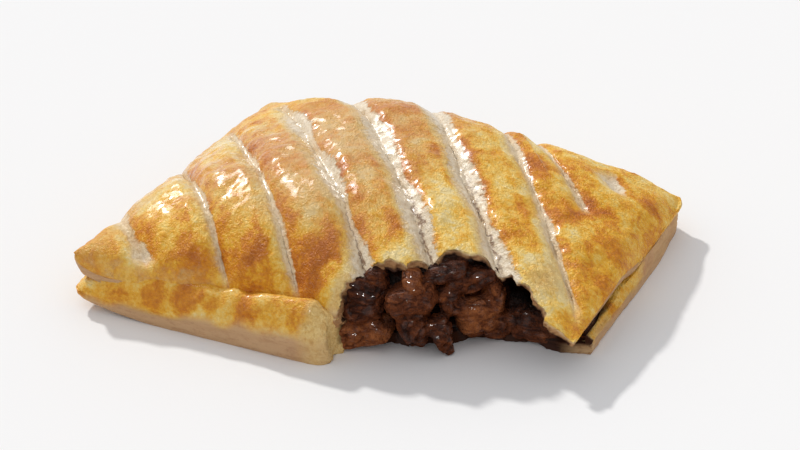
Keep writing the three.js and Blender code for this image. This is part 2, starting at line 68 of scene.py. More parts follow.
backwards = Vector((
    math.sin(CAMERA_AZIMUTH) * math.cos(CAMERA_ELEVATION),
    -math.cos(CAMERA_AZIMUTH) * math.cos(CAMERA_ELEVATION),
    math.sin(CAMERA_ELEVATION),
))
level = Vector((math.cos(CAMERA_AZIMUTH), math.sin(CAMERA_AZIMUTH), 0.0))
upwards = backwards.cross(level)
sideways = math.cos(CAMERA_ROLL) * level + math.sin(CAMERA_ROLL) * upwards
upright = backwards.cross(sideways)
place = CAMERA_TARGET + CAMERA_DISTANCE * backwards
bpy.ops.object.camera_add()
camera = bpy.context.object
camera.name = "photo_view"
camera.data.lens = CAMERA_LENS
camera.data.sensor_width = CAMERA_SENSOR
camera.data.clip_start = CAMERA_NEAR
camera.matrix_world = Matrix((
    (sideways.x, upright.x, backwards.x, place.x),
    (sideways.y, upright.y, backwards.y, place.y),
    (sideways.z, upright.z, backwards.z, place.z),
    (0.0, 0.0, 0.0, 1.0),
))
bpy.context.scene.camera = camera

# ---------------- floor and light
# The parcel lies on a plain pale floor under an even white sky. One lamp stands far behind it
# on the left and throws a clear shadow to the front right.
FLOOR_SIZE = 6.0
FLOOR_DROP = 0.00005
FLOOR_TONE = (0.88, 0.88, 0.885, 1.0)
FLOOR_ROUGHNESS = 0.9
SKY_TONE = (0.985, 0.985, 1.0, 1.0)
SKY_STRENGTH = 0.68
LAMP_HEIGHT = 0.5
LAMP_WAY = Vector((1.15, -0.72, -1.0))
LAMP_SPREAD = math.radians(3.5)
LAMP_STRENGTH = 2.1
LAMP_TONE = (1.0, 0.985, 0.95)

bpy.ops.mesh.primitive_plane_add(size=FLOOR_SIZE, location=(0.0, 0.0, -FLOOR_DROP))
floor = bpy.context.object
floor.name = "floor"
bpy.ops.object.transform_apply(location=True, rotation=True, scale=True)
floor_finish = bpy.data.materials.new("pale_floor")
floor_finish.use_nodes = True
floor_shader = floor_finish.node_tree.nodes["Principled BSDF"]
floor_shader.inputs["Base Color"].default_value = FLOOR_TONE
floor_shader.inputs["Roughness"].default_value = FLOOR_ROUGHNESS
floor_shader.inputs["Specular IOR Level"].default_value = 0.0
floor.data.materials.append(floor_finish)

sky = bpy.data.worlds.new("white_sky")
sky.use_nodes = True
sky.node_tree.nodes["Background"].inputs["Color"].default_value = SKY_TONE
sky.node_tree.nodes["Background"].inputs["Strength"].default_value = SKY_STRENGTH
bpy.context.scene.world = sky
bpy.context.scene.view_settings.view_transform = "Standard"

bpy.ops.object.light_add(type="SUN", location=(0.0, 0.0, LAMP_HEIGHT))
lamp = bpy.context.object
lamp.name = "soft_lamp"
lamp.data.angle = LAMP_SPREAD
lamp.data.energy = LAMP_STRENGTH
lamp.data.color = LAMP_TONE
lamp.rotation_euler = LAMP_WAY.to_track_quat("-Z", "Y").to_euler()

# two white panels that only show as reflections: behind for the glaze, in front for the gravy
PANEL_AIM = Vector((0.0, 0.0, 0.015))
PANELS = (
    ("glaze_panel", Vector((-0.64, 0.34, 0.60)), 0.45, 5.2),
    ("glint_panel", Vector((0.10, -0.55, 0.62)), 0.10, 9.0),
)
for panel_name, panel_place, panel_size, panel_power in PANELS:
    bpy.ops.object.light_add(type="AREA", location=panel_place)
    panel = bpy.context.object
    panel.name = panel_name
    panel.data.size = panel_size
    panel.data.energy = panel_power
    panel.visible_diffuse = False
    panel.rotation_euler = (PANEL_AIM - panel_place).to_track_quat("-Z", "Y").to_euler()

# ---------------- the pastry lid
# A sheet of puff pastry, laid over the filling, slashed on the slant, glazed with egg and baked
# until the strips between the cuts puffed up like small loaves. It is rolled out here as a flat
# grid, its edge is drawn down in thin layers, and then it is shaped, hollowed and bitten.
HALF_LENGTH = (solid_high.x - solid_low.x) / 2 / MM
HALF_WIDTH = (solid_high.y - solid_low.y) / 2 / MM
TOP_HEIGHT = 33.9
EDGE_HEIGHT = 12.7
SEAM_HEIGHT = 7.8
FLOOR_THICKNESS = 3.0
CORNER_LIFT = 3.9
SEAM_GAPE = 1.6
LID_EDGE_LEAST = 1.2
LID_FRONT_INSETS = (1.5, 6.6)
CORNER_ROUNDINGS = (20, 44)
# how far in from each side the dome goes on rising, and how full it is
DOME_FRONT, DOME_BACK = (30.3, 1.69), (33.2, 2.48)
DOME_LEFT, DOME_RIGHT = (69.2, 2.32), (75.5, 1.35)
RIM_RISE_LEFT, RIM_DROP_RIGHT, RIM_DROP_FRONT, RIM_DROP_TIP = 1.4, 3.9, 1.8, 2.0
# how wide and how deep the edge curls down where it is plain, plump and thin
EDGE_CURL = ((2.0, 5.0, 1.2), (1.3, 3.3, 0.5))
UNEVEN_HEIGHT, UNEVEN_LENGTH = 0.5, 31
SLASH_TURN = math.radians(47)
SLASH_DEPTH = 2.9
LOAF_CROWN = 0.5
SLASH_SHOULDER = 5.6
SLASH_FULLNESS = 1.6
SLASH_BACK_SHARE = 0.62
SLASH_END_RUN = 7
SLASH_PINCH, SLASH_PINCH_RUN = 0.28, 5.5
SLASH_DRIFT_START = 20
# each cut: distance from the origin, drift along it, where it starts and ends along its line,
# how wide its pale floor is, and the side its crease is on
SLASHES = (
    (-61.4, 0.14, -60, 6, 0.80, 1),
    (-45.8, 0.02, -60, 24, 0.42, 1),
    (-30.7, 0.0, -60, 34, 0.46, 1),
    (-14.7, 0.0, -60, 60, 0.80, 1),
    (1.6, -0.03, -60, 60, 1.0, -1),
    (18.4, -0.075, -60, 70, 1.0, -1),
    (34.9, -0.10, -60, 70, 0.56, -1),
    (46.4, 0.0, -60, 28, 0.46, 1),
    (59.4, 0.0, 4, 20, 0.75, 1),
)
LID_BACK = HALF_WIDTH - 0.9
LID_COLUMNS = 320
LID_ROWS = 240
LID_EDGE_LAYERS = 11
FLOOR_REACH = 2.3
FADE_REACH = 2.6


def clear_selection():
    for thing in bpy.context.selected_objects:
        thing.select_set(False)
    bpy.context.view_layer.objects.active = None


def make_active(piece):
    clear_selection()
    piece.select_set(True)
    bpy.context.view_layer.objects.active = piece


def smooth_step(start, end, value):
    t = np.clip((value - start) / (end - start), 0.0, 1.0)
    return t * t * (3 - 2 * t)


def mix(a, b, t):
    return a + (b - a) * t


def unevenness(x, y, wave_length):
    k = 2 * math.pi / wave_length
    first = np.sin(k * (x + 0.3 * y) + 1.3) * np.cos(k * (0.8 * y - 0.2 * x) + 0.4)
    second = np.sin(k * (0.57 * x - 1.31 * y) + 2.1)
    third = np.sin(k * (1.63 * x + 0.49 * y) + 4.2)
    return 0.5 * first + 0.3 * second + 0.2 * third


def grain(points, cell, seed):
    """Smooth random values from -1 to 1, with one knot to each cell of the given size."""
    knots = 64
    table = np.random.RandomState(seed).uniform(-1, 1, (knots, knots, knots))
    spot = np.asarray(points, float) / cell
    knot = np.floor(spot).astype(int)
    share = spot - knot
    share = share * share * (3 - 2 * share)
    total = np.zeros(len(spot))
    for step in itertools.product((0, 1), repeat=3):
        corner = (knot + step) % knots
        weight = np.prod(np.where(np.array(step) == 1, share, 1 - share), axis=1)
        total += weight * table[corner[:, 0], corner[:, 1], corner[:, 2]]
    return total


def spread(*columns):
    return np.stack(np.broadcast_arrays(*columns), axis=1)


def round_corners(u, v):
    power = np.where((u > 0) & (v > 0), *CORNER_ROUNDINGS)
    reach = np.maximum(np.maximum(np.abs(u), np.abs(v)), 1e-9)
    total = (np.abs(u) / reach) ** power + (np.abs(v) / reach) ** power
    pull = 1 + (np.maximum(total, 1) ** (-1 / power) - 1) * reach ** 4
    return u * pull, v * pull


def lid_front(x):
    return -HALF_WIDTH + mix(*LID_FRONT_INSETS, smooth_step(-HALF_LENGTH, -5, x))


def corner_lift(x, y):
    along_length = np.clip((-38 - x) / 28, 0, 1)
    along_width = np.clip((-15 - y) / 34, 0, 1)
    return CORNER_LIFT * along_length ** 2 * along_width


def open_seam(x, y):
    return smooth_step(44, 58, x) * (1 - smooth_step(-6, 14, y))


def lid_underside(x, y):
    return SEAM_HEIGHT + SEAM_GAPE * open_seam(x, y)


def dome_side(inward, width, fullness):
    left = 1 - np.clip(inward / width, 0, 1)
    return (1 - left ** fullness) ** 0.75


def dome_height(x, y):
    front = dome_side(y - lid_front(x), *DOME_FRONT)
    back = dome_side(LID_BACK - y, *DOME_BACK)
    left = dome_side(x + HALF_LENGTH, *DOME_LEFT)
    right = dome_side(HALF_LENGTH - x, *DOME_RIGHT)
    rise = front * back * left * right
    back_share = np.clip(y / HALF_WIDTH, 0, 1) ** 2
    left_share = np.clip(-x / HALF_LENGTH, 0, 1) ** 2
    right_share = np.clip(x / HALF_LENGTH, 0, 1) ** 2
    rim = EDGE_HEIGHT + back_share * (RIM_RISE_LEFT * left_share - RIM_DROP_RIGHT * right_share)
    rim -= RIM_DROP_FRONT * np.clip(-y / HALF_WIDTH, 0, 1) ** 4 * smooth_step(-64, -42, x)
    rim -= RIM_DROP_TIP * smooth_step(36, HALF_LENGTH, x) * (1 - smooth_step(-28, 4, y))
    return rim + (TOP_HEIGHT - rim) * rise + corner_lift(x, y) * (1 - rise)


def edge_drop(x, y):
    """How far the surface curls down to the lid's edge, which is round on the left."""
    inward = np.minimum(HALF_LENGTH - np.abs(x), np.minimum(y - lid_front(x), LID_BACK - y))
    plump = np.maximum(1 - smooth_step(-60, -44, x), smooth_step(48, 60, x) * smooth_step(-2, 16, y))
    thin = smooth_step(44, 60, x) * (1 - smooth_step(-12, 4, y))
    width, drop = (mix(mix(plain, full, plump), slim, thin) for plain, full, slim in EDGE_CURL)
    curl = 1 - np.clip(inward / width, 0, 1)
    return drop * (1 - np.sqrt(1 - curl ** 2))


def rim_fade(x, y):
    across = smooth_step(-1, 5, y - lid_front(x)) * smooth_step(-1, 6, LID_BACK - y)
    left = mix(0.35, 1.0, smooth_step(0, 14, x + HALF_LENGTH)) * smooth_step(-2, 2, x + HALF_LENGTH)
    return across * left * smooth_step(0, 8, HALF_LENGTH - x)


def slash_axes(x, y):
    """How far a point lies across the cuts, and how far along them."""
    sine, cosine = math.sin(SLASH_TURN), math.cos(SLASH_TURN)
    return x * sine + y * cosine, x * cosine - y * sine


def slash_sides(x, y):
    """For each cut: the signed distance across it, how open it is there, its width, its side."""
    across, along = slash_axes(x, y)
    for number, (place_across, drift, start, end, width, crease_side) in enumerate(SLASHES):
        opened = smooth_step(start, start + SLASH_END_RUN, along)
        opened = opened * (1 - smooth_step(end - SLASH_END_RUN, end, along))
        pinched = 1 + SLASH_PINCH * np.sin(along / SLASH_PINCH_RUN + 2.4 * number)
        distance = across - place_across - drift * (along - SLASH_DRIFT_START)
        yield distance, opened, width * pinched, crease_side


def slash_depth(x, y):
    deepest = np.zeros_like(x)
    for distance, opened, width, _ in slash_sides(x, y):
        shoulder = SLASH_SHOULDER * mix(0.8, 1.0, width)
        side = np.clip(1 - np.abs(distance) / shoulder, 0, 1)
        deepest = np.maximum(deepest, side ** SLASH_FULLNESS * opened * mix(0.75, 1.0, width))
    deepest *= mix(SLASH_BACK_SHARE, 1.0, smooth_step(14, -10, y))
    return ((SLASH_DEPTH + LOAF_CROWN) * deepest - LOAF_CROWN) * rim_fade(x, y)


def lid_top(x, y):
    height = dome_height(x, y) - edge_drop(x, y) - slash_depth(x, y)
    height = height + UNEVEN_HEIGHT * unevenness(x, y, UNEVEN_LENGTH)
    return np.maximum(height, lid_underside(x, y) + LID_EDGE_LEAST)


def ripple_share(x, y):
    """The thin sheet wrinkled beside the bite, where its cut was torn open."""
    return np.exp(-(((x - 54) / 5.5) ** 2 + ((y + 19) / 9) ** 2))


def lid_detail(x, y):
    """The fine relief of the baked surface: creases in the cuts, lips, blisters and wrinkles."""
    flat = spread(x, y, np.zeros_like(x))
    lean = spread(0.9 * grain(flat, 9, 3), 0.9 * grain(flat, 9, 4), np.zeros_like(x))
    relief = 0.30 * grain(flat, 7.5, 5) + 0.24 * grain(flat, 3.4, 6) + 0.15 * grain(flat, 1.7, 7)
    wrinkle = 1 - np.abs(grain(flat + 2 * lean, 2.9, 8)) * 2.2
    relief += 0.16 * np.clip(wrinkle, 0, 1) ** 2
    groove = np.zeros_like(x)
    edge_noise = 0.6 * grain(flat, 6, 9) + 0.25 * grain(flat, 1.8, 10)
    for distance, opened, width, crease_side in slash_sides(x, y):
        reach = distance + edge_noise
        crease = np.exp(-((reach - 0.6 * crease_side * width) / 0.4) ** 2)
        crease *= np.clip(0.5 + 1.5 * grain(flat, 5, 15), 0, 1)
        lip_start = FLOOR_REACH * width
        lip = smooth_step(lip_start - 0.6, lip_start + 0.8, reach)
        lip *= 1 - smooth_step(lip_start + 0.8, lip_start + 5, reach)
        groove += opened * (0.22 * lip - 0.8 * crease)
    across, _ = slash_axes(x, y)
    ripples = np.sin(across * 3.4 + 2.5 * grain(flat, 4, 14))
    return relief + groove * rim_fade(x, y) + 0.16 * ripples * ripple_share(x, y)


def nearest_slash(x, y):
    """The nearest open cut: signed distance, the same measured by its pale floor, how open it is.

    The measure runs from -1 to 1 over the floor, then slowly along the pale flank before it.
    """
    nearest, floor_half = np.full_like(x, 9.0), np.ones_like(x)
    openness = np.zeros_like(x)
    for distance, opened, width, _ in slash_sides(x, y):
        closer = (opened > 0.02) & (np.abs(distance) < np.abs(nearest))
        nearest = np.where(closer, distance, nearest)
        own_half = FLOOR_REACH * width * mix(0.62, 1.0, smooth_step(0.4, 0.9, width))
        floor_half = np.where(closer, own_half, floor_half)
        openness = np.where(closer, opened, openness)
    beyond = np.maximum(-nearest - floor_half, 0)
    fade_reach = FADE_REACH * mix(0.55, 1.0, smooth_step(0.4, 0.9, floor_half / FLOOR_REACH))
    measure = np.clip(nearest / floor_half, -1, 4) - beyond / fade_reach
    openness = openness * rim_fade(x, y) * (1 - smooth_step(4.0, 5.6, np.abs(nearest)))
    openness *= mix(0.68, 1.0, smooth_step(0.4, 0.9, floor_half / FLOOR_REACH))
    return nearest, measure, openness


def push_out(x, y, u, v, distance):
    side_x = np.sign(u) * np.abs(u) ** 40
    side_y = np.sign(v) * np.abs(v) ** 40
    out_x = np.clip(x + side_x * distance, -HALF_LENGTH, HALF_LENGTH)
    out_y = np.clip(y + side_y * distance, -HALF_WIDTH, HALF_WIDTH)
    return out_x, out_y


def read_points(piece):
    flat = np.empty(len(piece.data.vertices) * 3)
    piece.data.vertices.foreach_get("co", flat)
    return flat.reshape(-1, 3)


def write_points(piece, points):
    piece.data.vertices.foreach_set("co", np.ascontiguousarray(points).ravel())
    piece.data.update()


def paint(piece, **masks):
    """Stores masks from 0 to 1 on the points, each an array or one value for them all."""
    for name, values in masks.items():
        layer = piece.data.attributes.new(name, "FLOAT", "POINT")
        shares = np.broadcast_to(np.clip(values, 0, 1), len(piece.data.vertices))
        layer.data.foreach_set("value", shares.astype(np.float32))


def face_outwards(piece):
    make_active(piece)
    bpy.ops.object.mode_set(mode="EDIT")
    bpy.ops.mesh.select_all(action="SELECT")
    bpy.ops.mesh.normals_make_consistent(inside=False)
    bpy.ops.object.mode_set(mode="OBJECT")


def rolled_sheet(name, columns, rows, edge_rows):
    """A flat unit grid whose border is drawn down row by row and closed below."""
    clear_selection()
    bpy.ops.mesh.primitive_grid_add(x_subdivisions=columns, y_subdivisions=rows, size=2)
    sheet = bpy.context.object
    sheet.name = name
    bpy.ops.object.mode_set(mode="EDIT")
    bpy.ops.mesh.select_mode(type="EDGE")
    bpy.ops.mesh.select_all(action="DESELECT")
    bpy.ops.mesh.select_non_manifold(extend=False)
    for _ in range(edge_rows):
        bpy.ops.mesh.extrude_edges_move(TRANSFORM_OT_translate={"value": (0, 0, -1)})
    bpy.ops.mesh.edge_face_add()
    bpy.ops.object.mode_set(mode="OBJECT")
    face_outwards(sheet)
    return sheet


def sheet_coordinates(sheet):
    """Each point's place in the unit grid, and how many rows down the drawn edge it lies."""
    unit = read_points(sheet)
    return unit[:, 0], unit[:, 1], np.round(-unit[:, 2])


def apply_modifier(piece, kind, **settings):
    make_active(piece)
    modifier = piece.modifiers.new(kind.lower(), kind)
    for name, value in settings.items():
        setattr(modifier, name, value)
    bpy.ops.object.modifier_apply(modifier=modifier.name)


def carve(piece, cutter, cutter_stays=False):
    apply_modifier(piece, "BOOLEAN", operation="DIFFERENCE", solver="MANIFOLD", object=cutter)
    if not cutter_stays:
        bpy.data.objects.remove(cutter)


def finish_mesh(piece, angle):
    make_active(piece)
    bpy.ops.object.mode_set(mode="EDIT")
    bpy.ops.mesh.select_all(action="SELECT")
    bpy.ops.mesh.remove_doubles(threshold=0.02 * MM)
    bpy.ops.object.mode_set(mode="OBJECT")
    bpy.ops.object.shade_smooth_by_angle(angle=math.radians(angle))


lid = rolled_sheet("lid_crust", LID_COLUMNS, LID_ROWS, LID_EDGE_LAYERS + 2)
u, v, row = sheet_coordinates(lid)
across, deep = round_corners(u, v)
x = across * HALF_LENGTH
y = mix(lid_front(x), LID_BACK, (deep + 1) / 2)
top = lid_top(x, y) + lid_detail(x, y)
step_down = np.clip(row / LID_EDGE_LAYERS, 0, 1)
strata = grain(spread(x / 7, y / 7, row * 0.9), 1.0, 11) * 0.32
strata += grain(spread(x / 2.2, y / 2.2, row * 1.3), 1.0, 12) * 0.16
plump = 1 - smooth_step(-64, -57, x)
flush = smooth_step(2, 12, y) * smooth_step(50, 60, x)
tuck = mix(0.5, 2.2, plump) * (1 - flush) * step_down ** 2.4
lid_x, lid_y = push_out(x, y, u, v, np.where(row > 0, 0.9 * strata - tuck, -0.1))
height = mix(lid_underside(x, y), top, 1 - step_down)
for lower_row, scale in ((LID_EDGE_LAYERS + 1, 0.9), (LID_EDGE_LAYERS + 2, 0.72)):
    under = row == lower_row
    lid_x = np.where(under, x * scale, lid_x)
    lid_y = np.where(under, y * scale, lid_y)
    height = np.where(under, lid_underside(x * scale, y * scale), height)
write_points(lid, spread(lid_x, lid_y, height) * MM)

# the hollow between the sheets, which the filling takes up
CRUST_LEFT, CRUST_RIGHT, CRUST_FRONT, CRUST_BACK = 12, 5, 11, 11
THIN_RIGHT_CRUST = 3.2
LID_THICKNESS, LID_BESIDE_BITE, LID_THIN = 3.9, 2.4, 1.5
LID_UNDER_CUT, LID_UNDER_CUT_THIN = 2.0, 1.4
HOLLOW_COLUMNS, HOLLOW_ROWS = 110, 80
FOOT_SHARE = 0.7


def hollow_plan(u, v, shrink):
    across, deep = round_corners(u, v)
    front, back = CRUST_FRONT - HALF_WIDTH + shrink, HALF_WIDTH - CRUST_BACK - shrink
    y = mix(front, back, (deep + 1) / 2)
    opened = THIN_RIGHT_CRUST * (1 - smooth_step(-14, 4, y))
    left, right = CRUST_LEFT - HALF_LENGTH + shrink, HALF_LENGTH - CRUST_RIGHT + opened - shrink
    return mix(left, right, (across + 1) / 2), y


def roof_height(x, y):
    bitten_end = smooth_step(25, 31, x) * (1 - smooth_step(-20, -8, y))
    beside_bite = smooth_step(9, 15, x) * (1 - smooth_step(-26, -16, y))
    thickness = mix(mix(LID_THICKNESS, LID_BESIDE_BITE, beside_bite), LID_THIN, bitten_end)
    whole = dome_height(x, y) - thickness - edge_drop(x, y)
    return np.minimum(whole, lid_top(x, y) - mix(LID_UNDER_CUT, LID_UNDER_CUT_THIN, bitten_end))


def hollow_top(x, y, u, v, slump):
    lowest = SEAM_HEIGHT + 0.6
    roof = np.maximum(roof_height(x, y), lid_underside(x, y) + 0.2) - slump
    edge = np.maximum(np.abs(u), np.abs(v)) ** 16 * (1 - open_seam(x, y))
    return np.maximum(mix(roof, lowest, 0.45 * edge), lowest - 1.5 * open_seam(x, y))


def hollow_form(name):
    form = rolled_sheet(name, HOLLOW_COLUMNS, HOLLOW_ROWS, 2)
    u, v, row = sheet_coordinates(form)
    x, y = hollow_plan(u, v, 0)
    x, y = (np.where(row == 2, side * FOOT_SHARE, side) for side in (x, y))
    ceiling = hollow_top(x, y, u, v, 0)
    z = np.where(row == 0, ceiling, FLOOR_THICKNESS + corner_lift(x, y))
    write_points(form, spread(x, y, z) * MM)
    return form


hollow = hollow_form("hollow")
carve(lid, hollow, cutter_stays=True)

# the bite: one upright plug with tooth marks and torn layers all round it
LID_BITE = ((22, -46, 13.4), (42, -44, 21.4), (63, -52, 20.6))
BASE_BITE = ((22, -47.5, 14), (33.5, -44, 15), (50, -45.6, 25.0), (70, -44.5, 25))
BITE_X, BITE_Y = 44, -50
BITE_SIDES = 420
BITE_LEVELS = 84
BITE_HEIGHT = 40.0
TOOTH_WIDTH, TOOTH_DEPTH = 7.5, 0.9
LID_RAGGED, BASE_RAGGED, GRAVY_RAGGED = 1.35, 1.5, 1.4


def bite_reach(angle, circles):
    """How far the bite goes from its middle in each direction."""
    way_x, way_y = np.cos(angle), np.sin(angle)
    reach = np.full_like(angle, 4.0)
    for middle_x, middle_y, radius in circles:
        gap_x, gap_y = BITE_X - middle_x, BITE_Y - middle_y
        along = -(gap_x * way_x + gap_y * way_y)
        root = radius ** 2 - (gap_x ** 2 + gap_y ** 2 - along ** 2)
        far = along + np.sqrt(np.maximum(root, 0))
        reach = np.where((root > 0) & (far > 0), np.maximum(reach, far), reach)
    return reach


def prism(name, sides, levels):
    """An upright prism of unit steps, made by extruding a filled circle upwards."""
    clear_selection()
    bpy.ops.mesh.primitive_circle_add(vertices=sides, radius=1, fill_type="NGON")
    body = bpy.context.object
    body.name = name
    bpy.ops.object.mode_set(mode="EDIT")
    bpy.ops.mesh.select_mode(type="FACE")
    bpy.ops.mesh.select_all(action="SELECT")
    for _ in range(levels):
        bpy.ops.mesh.extrude_region_move(TRANSFORM_OT_translate={"value": (0, 0, 1)})
    bpy.ops.object.mode_set(mode="OBJECT")
    face_outwards(body)
    return body


def bite_plug(name, circles, layer_of, grown, ragged):
    """layer_of gives, for a point, how far it lies below the sheet's surface."""
    plug = prism(name, BITE_SIDES, BITE_LEVELS)
    unit = read_points(plug)
    angle = np.arctan2(unit[:, 1], unit[:, 0])
    z = (np.round(unit[:, 2]) / BITE_LEVELS) * BITE_HEIGHT - 1.0
    reach = bite_reach(angle, circles)
    x, y = BITE_X + reach * np.cos(angle), BITE_Y + reach * np.sin(angle)
    arc = reach * angle
    layer = layer_of(x, y, z)
    scallop = TOOTH_DEPTH * (np.abs(np.sin(arc * math.pi / TOOTH_WIDTH)) - 0.6)
    torn = 0.5 * grain(spread(arc / 4, layer / 0.9, 0.0), 1.0, 21)
    torn += 0.28 * grain(spread(arc / 1.3, layer / 0.5, 0.0), 1.0, 22)
    torn += 0.3 * grain(spread(x, y, z), 0.9, 23)
    reach = reach + grown + scallop + ragged * torn
    x, y = BITE_X + reach * np.cos(angle), BITE_Y + reach * np.sin(angle)
    write_points(plug, spread(x, y, z) * MM)
    return plug


def bite_depth(x, y, circles):
    """Distance from the bite's outline, positive in the food that is left."""
    angle = np.arctan2(y - BITE_Y, x - BITE_X)
    return np.hypot(x - BITE_X, y - BITE_Y) - bite_reach(angle, circles)


lid_plug = bite_plug("lid_plug", LID_BITE, lambda x, y, z: lid_top(x, y) - z, 0.0, LID_RAGGED)
carve(lid, lid_plug)
finish_mesh(lid, 50)

# where the lid is pale, brown, layered or torn, and where its underside is soaked with gravy and
# darkened as painted shade
BROWNED_SPOTS = (
    (-40, -31, 6, 0.4), (-31, -40, 7, 0.5), (-18, -36, 6, 0.5), (-14, -42, 6, 0.5), (-3, -38, 6, 0.5),
    (3, -32, 6, 0.6), (-22, -12, 6, 0.3), (-4, -10, 4, 0.4), (17, -24, 5, 0.6), (14, 12, 7, 0.7),
    (24, 2, 6, 0.6), (31, -10, 5, 0.6), (34, 24, 7, 0.6), (41, 2, 6, 0.8), (44, -9, 6, 0.9),
    (43, 33, 5, 0.6), (50, 13, 6, 0.6), (56, 14, 4, 0.4), (57, -6, 6, 0.4), (62, 30, 3, 0.7),
    (52, 42, 4, 0.6), (62, -8, 5, 0.4), (-56, -41, 4, 0.2), (60, 2, 6, 0.4),
    (4, -38, 6, 0.7), (48, 5, 5, 0.8), (2, 15, 6, 0.6), (-3, 25, 6, 0.6),
)
CUT_MEASURE_RANGE = 10.0
points = read_points(lid) / MM
x, y, z = points.T
surface = lid_top(x, y) + lid_detail(x, y)
below = surface - z
bite_near = bite_depth(x, y, LID_BITE)
bitten = 1 - smooth_step(1.2, 2.2, bite_near)
in_hollow = (x > CRUST_LEFT - HALF_LENGTH - 0.5) & (x < HALF_LENGTH - 1.0)
in_hollow &= (y > CRUST_FRONT - HALF_WIDTH - 0.5) & (y < HALF_WIDTH - CRUST_BACK + 0.5)
# the underside over the hollow: dark for the gravy soaked into it, and as painted shade under the lid
soaked = in_hollow * (1 - smooth_step(0.1, 0.5, z - roof_height(x, y)))
torn = bitten * smooth_step(0.10, 0.4, below)
near_cut, cut_measure, cut_open = nearest_slash(x, y)
cut_open *= 1 - smooth_step(0.8, 2.0, below)
_, down_the_cut = slash_axes(x, y)
# where the lower parts of the cuts show a thin crack, painted dark as the shade inside it
cracked = cut_open * smooth_step(2, 24, down_the_cut) * (1 - 0.7 * smooth_step(38, 48, x))
crust_left = (1 - smooth_step(0, 4.5, bite_near)) * (1 - smooth_step(8, 18, x))
side = np.minimum(HALF_LENGTH - np.abs(x), np.minimum(y - lid_front(x), LID_BACK - y))
crease = smooth_step(-62, -54, x) * (1 - smooth_step(-26, -14, x))
crease = crease * smooth_step(5.0, 0.5, y - lid_front(x))
pale = np.maximum(0.7 * ripple_share(x, y), 0.85 * crust_left)
pale = np.maximum(pale, np.maximum(0.42 * crease, 0.30 * (1 - smooth_step(-60, -50, x))))
stained = bitten * smooth_step(0.2, 0.9, below)
edge = smooth_step(0.8, 2.0, below) * (1 - smooth_step(0.8, 1.8, side)) * (1 - bitten)
baked = 0.38 + 0.20 * grain(points, 11, 31) + 0.17 * grain(points, 5.5, 32)
baked += 0.12 * grain(points, 2.3, 33)
for spot_x, spot_y, size, strength in BROWNED_SPOTS:
    away = np.hypot(x - spot_x, y - spot_y) / size + 0.25 * grain(points, 3.5, 34)
    baked += 0.46 * strength * (1 - smooth_step(0.35, 1.2, away))
baked += 0.10 * smooth_step(-26, -42, y) * smooth_step(14, 0, x) + 0.02 * smooth_step(24, 44, x)
baked -= 0.24 * (1 - smooth_step(0, 6, bite_near)) * smooth_step(6, 0, below)
baked -= 0.40 * smooth_step(-8, -2.0, near_cut) * (near_cut < 0) * cut_open
baked += 0.26 * (1 - smooth_step(2.5, 5.5, near_cut)) * (near_cut > 0) * cut_open
right_loaves = 0.12 * smooth_step(4.5, 7.5, np.abs(near_cut)) * smooth_step(-25, 0, x)
baked -= right_loaves * (1 - smooth_step(44, 56, x))
blush = smooth_step(24, 33, z + 2.5 * grain(points, 6, 35)) * smooth_step(24, -6, x)
blush = np.maximum(blush, 0.6 * (1 - smooth_step(-60, -50, x)))
glossy = mix(1.0, 0.22, smooth_step(5, 32, x)) * smooth_step(-37, -27, y) * (1 - 0.2 * blush)
glossy *= 1 - 0.75 * smooth_step(6, 24, y) * (1 - 0.5 * smooth_step(-28, -10, x))
cut_shine = 0.28 * smooth_step(-34, -20, y) * mix(1.0, 0.6, smooth_step(20, 45, x))
paint(lid, pale=pale, baked=baked, blush=blush, edge=edge, torn=torn, soaked=soaked, stained=stained,
      glossy=glossy, cut_shine=cut_shine, cut_measure=cut_measure / CUT_MEASURE_RANGE + 0.5,
      cut_open=cut_open, cracked=cracked)


def tone(red, green, blue):
    """A colour given as it shows on a screen, from 0 to 255."""
    shares = [channel / 255 for channel in (red, green, blue)]
    linear = [s / 12.92 if s <= 0.04045 else ((s + 0.055) / 1.055) ** 2.4 for s in shares]
    return (*linear, 1.0)


def put(tree, kind, settings, inputs):
    """Adds a shader node; an input is a socket to link or a value to set."""
    node = tree.nodes.new("ShaderNode" + kind)
    for name, value in settings.items():
        setattr(node, name, value)
    for key, value in inputs.items():
        if isinstance(value, bpy.types.NodeSocket):
            tree.links.new(value, node.inputs[key])
        else:
            node.inputs[key].default_value = value
    return node


def math_node(operation, *values):
    tree = next(value.id_data for value in values if isinstance(value, bpy.types.NodeSocket))
    return put(tree, "Math", {"operation": operation}, dict(enumerate(values))).outputs[0]


def product(first, second):
    return math_node("MULTIPLY", first, second)


def scaled_sum(value, scale, added):
    return math_node("MULTIPLY_ADD", value, scale, added)


def difference(first, second):
    return math_node("SUBTRACT", first, second)


def larger(first, second):
    return math_node("MAXIMUM", first, second)


def ramp(factor, stops):
    node = put(factor.id_data, "ValToRGB", {}, {0: factor})
    band = node.color_ramp
    while len(band.elements) < len(stops):
        band.elements.new(0.5)
    for element, (position, colour) in zip(band.elements, stops):
        element.position = position
        element.color = colour
    return node.outputs[0]


def tone_ramp(factor, *stops):
    """Each stop is its position and its colour as it shows on a screen."""
    return ramp(factor, [(position, tone(*colour)) for position, *colour in stops])


def blend(factor, first, second):
    settings = {"data_type": "RGBA", "blend_type": "MIX", "clamp_factor": True}
    return put(factor.id_data, "Mix", settings, {0: factor, 6: first, 7: second}).outputs[2]


def reading(tree, name):
    return put(tree, "Attribute", {"attribute_name": name}, {}).outputs["Fac"]


def object_place(tree, stretch=(1, 1, 1)):
    place = put(tree, "TexCoord", {}, {}).outputs["Object"]
    return put(tree, "Mapping", {}, {"Vector": place, "Scale": stretch}).outputs[0]


def noise(tree, place, size, detail=3.0, roughness=0.55, distortion=0.0):
    """Noise whose blotches are about size metres across, or 1 for a place stretched to its size."""
    inputs = {"Vector": place, "Scale": 1 / size, "Detail": detail}
    inputs |= {"Roughness": roughness, "Distortion": distortion}
    return put(tree, "TexNoise", {}, inputs).outputs[0]


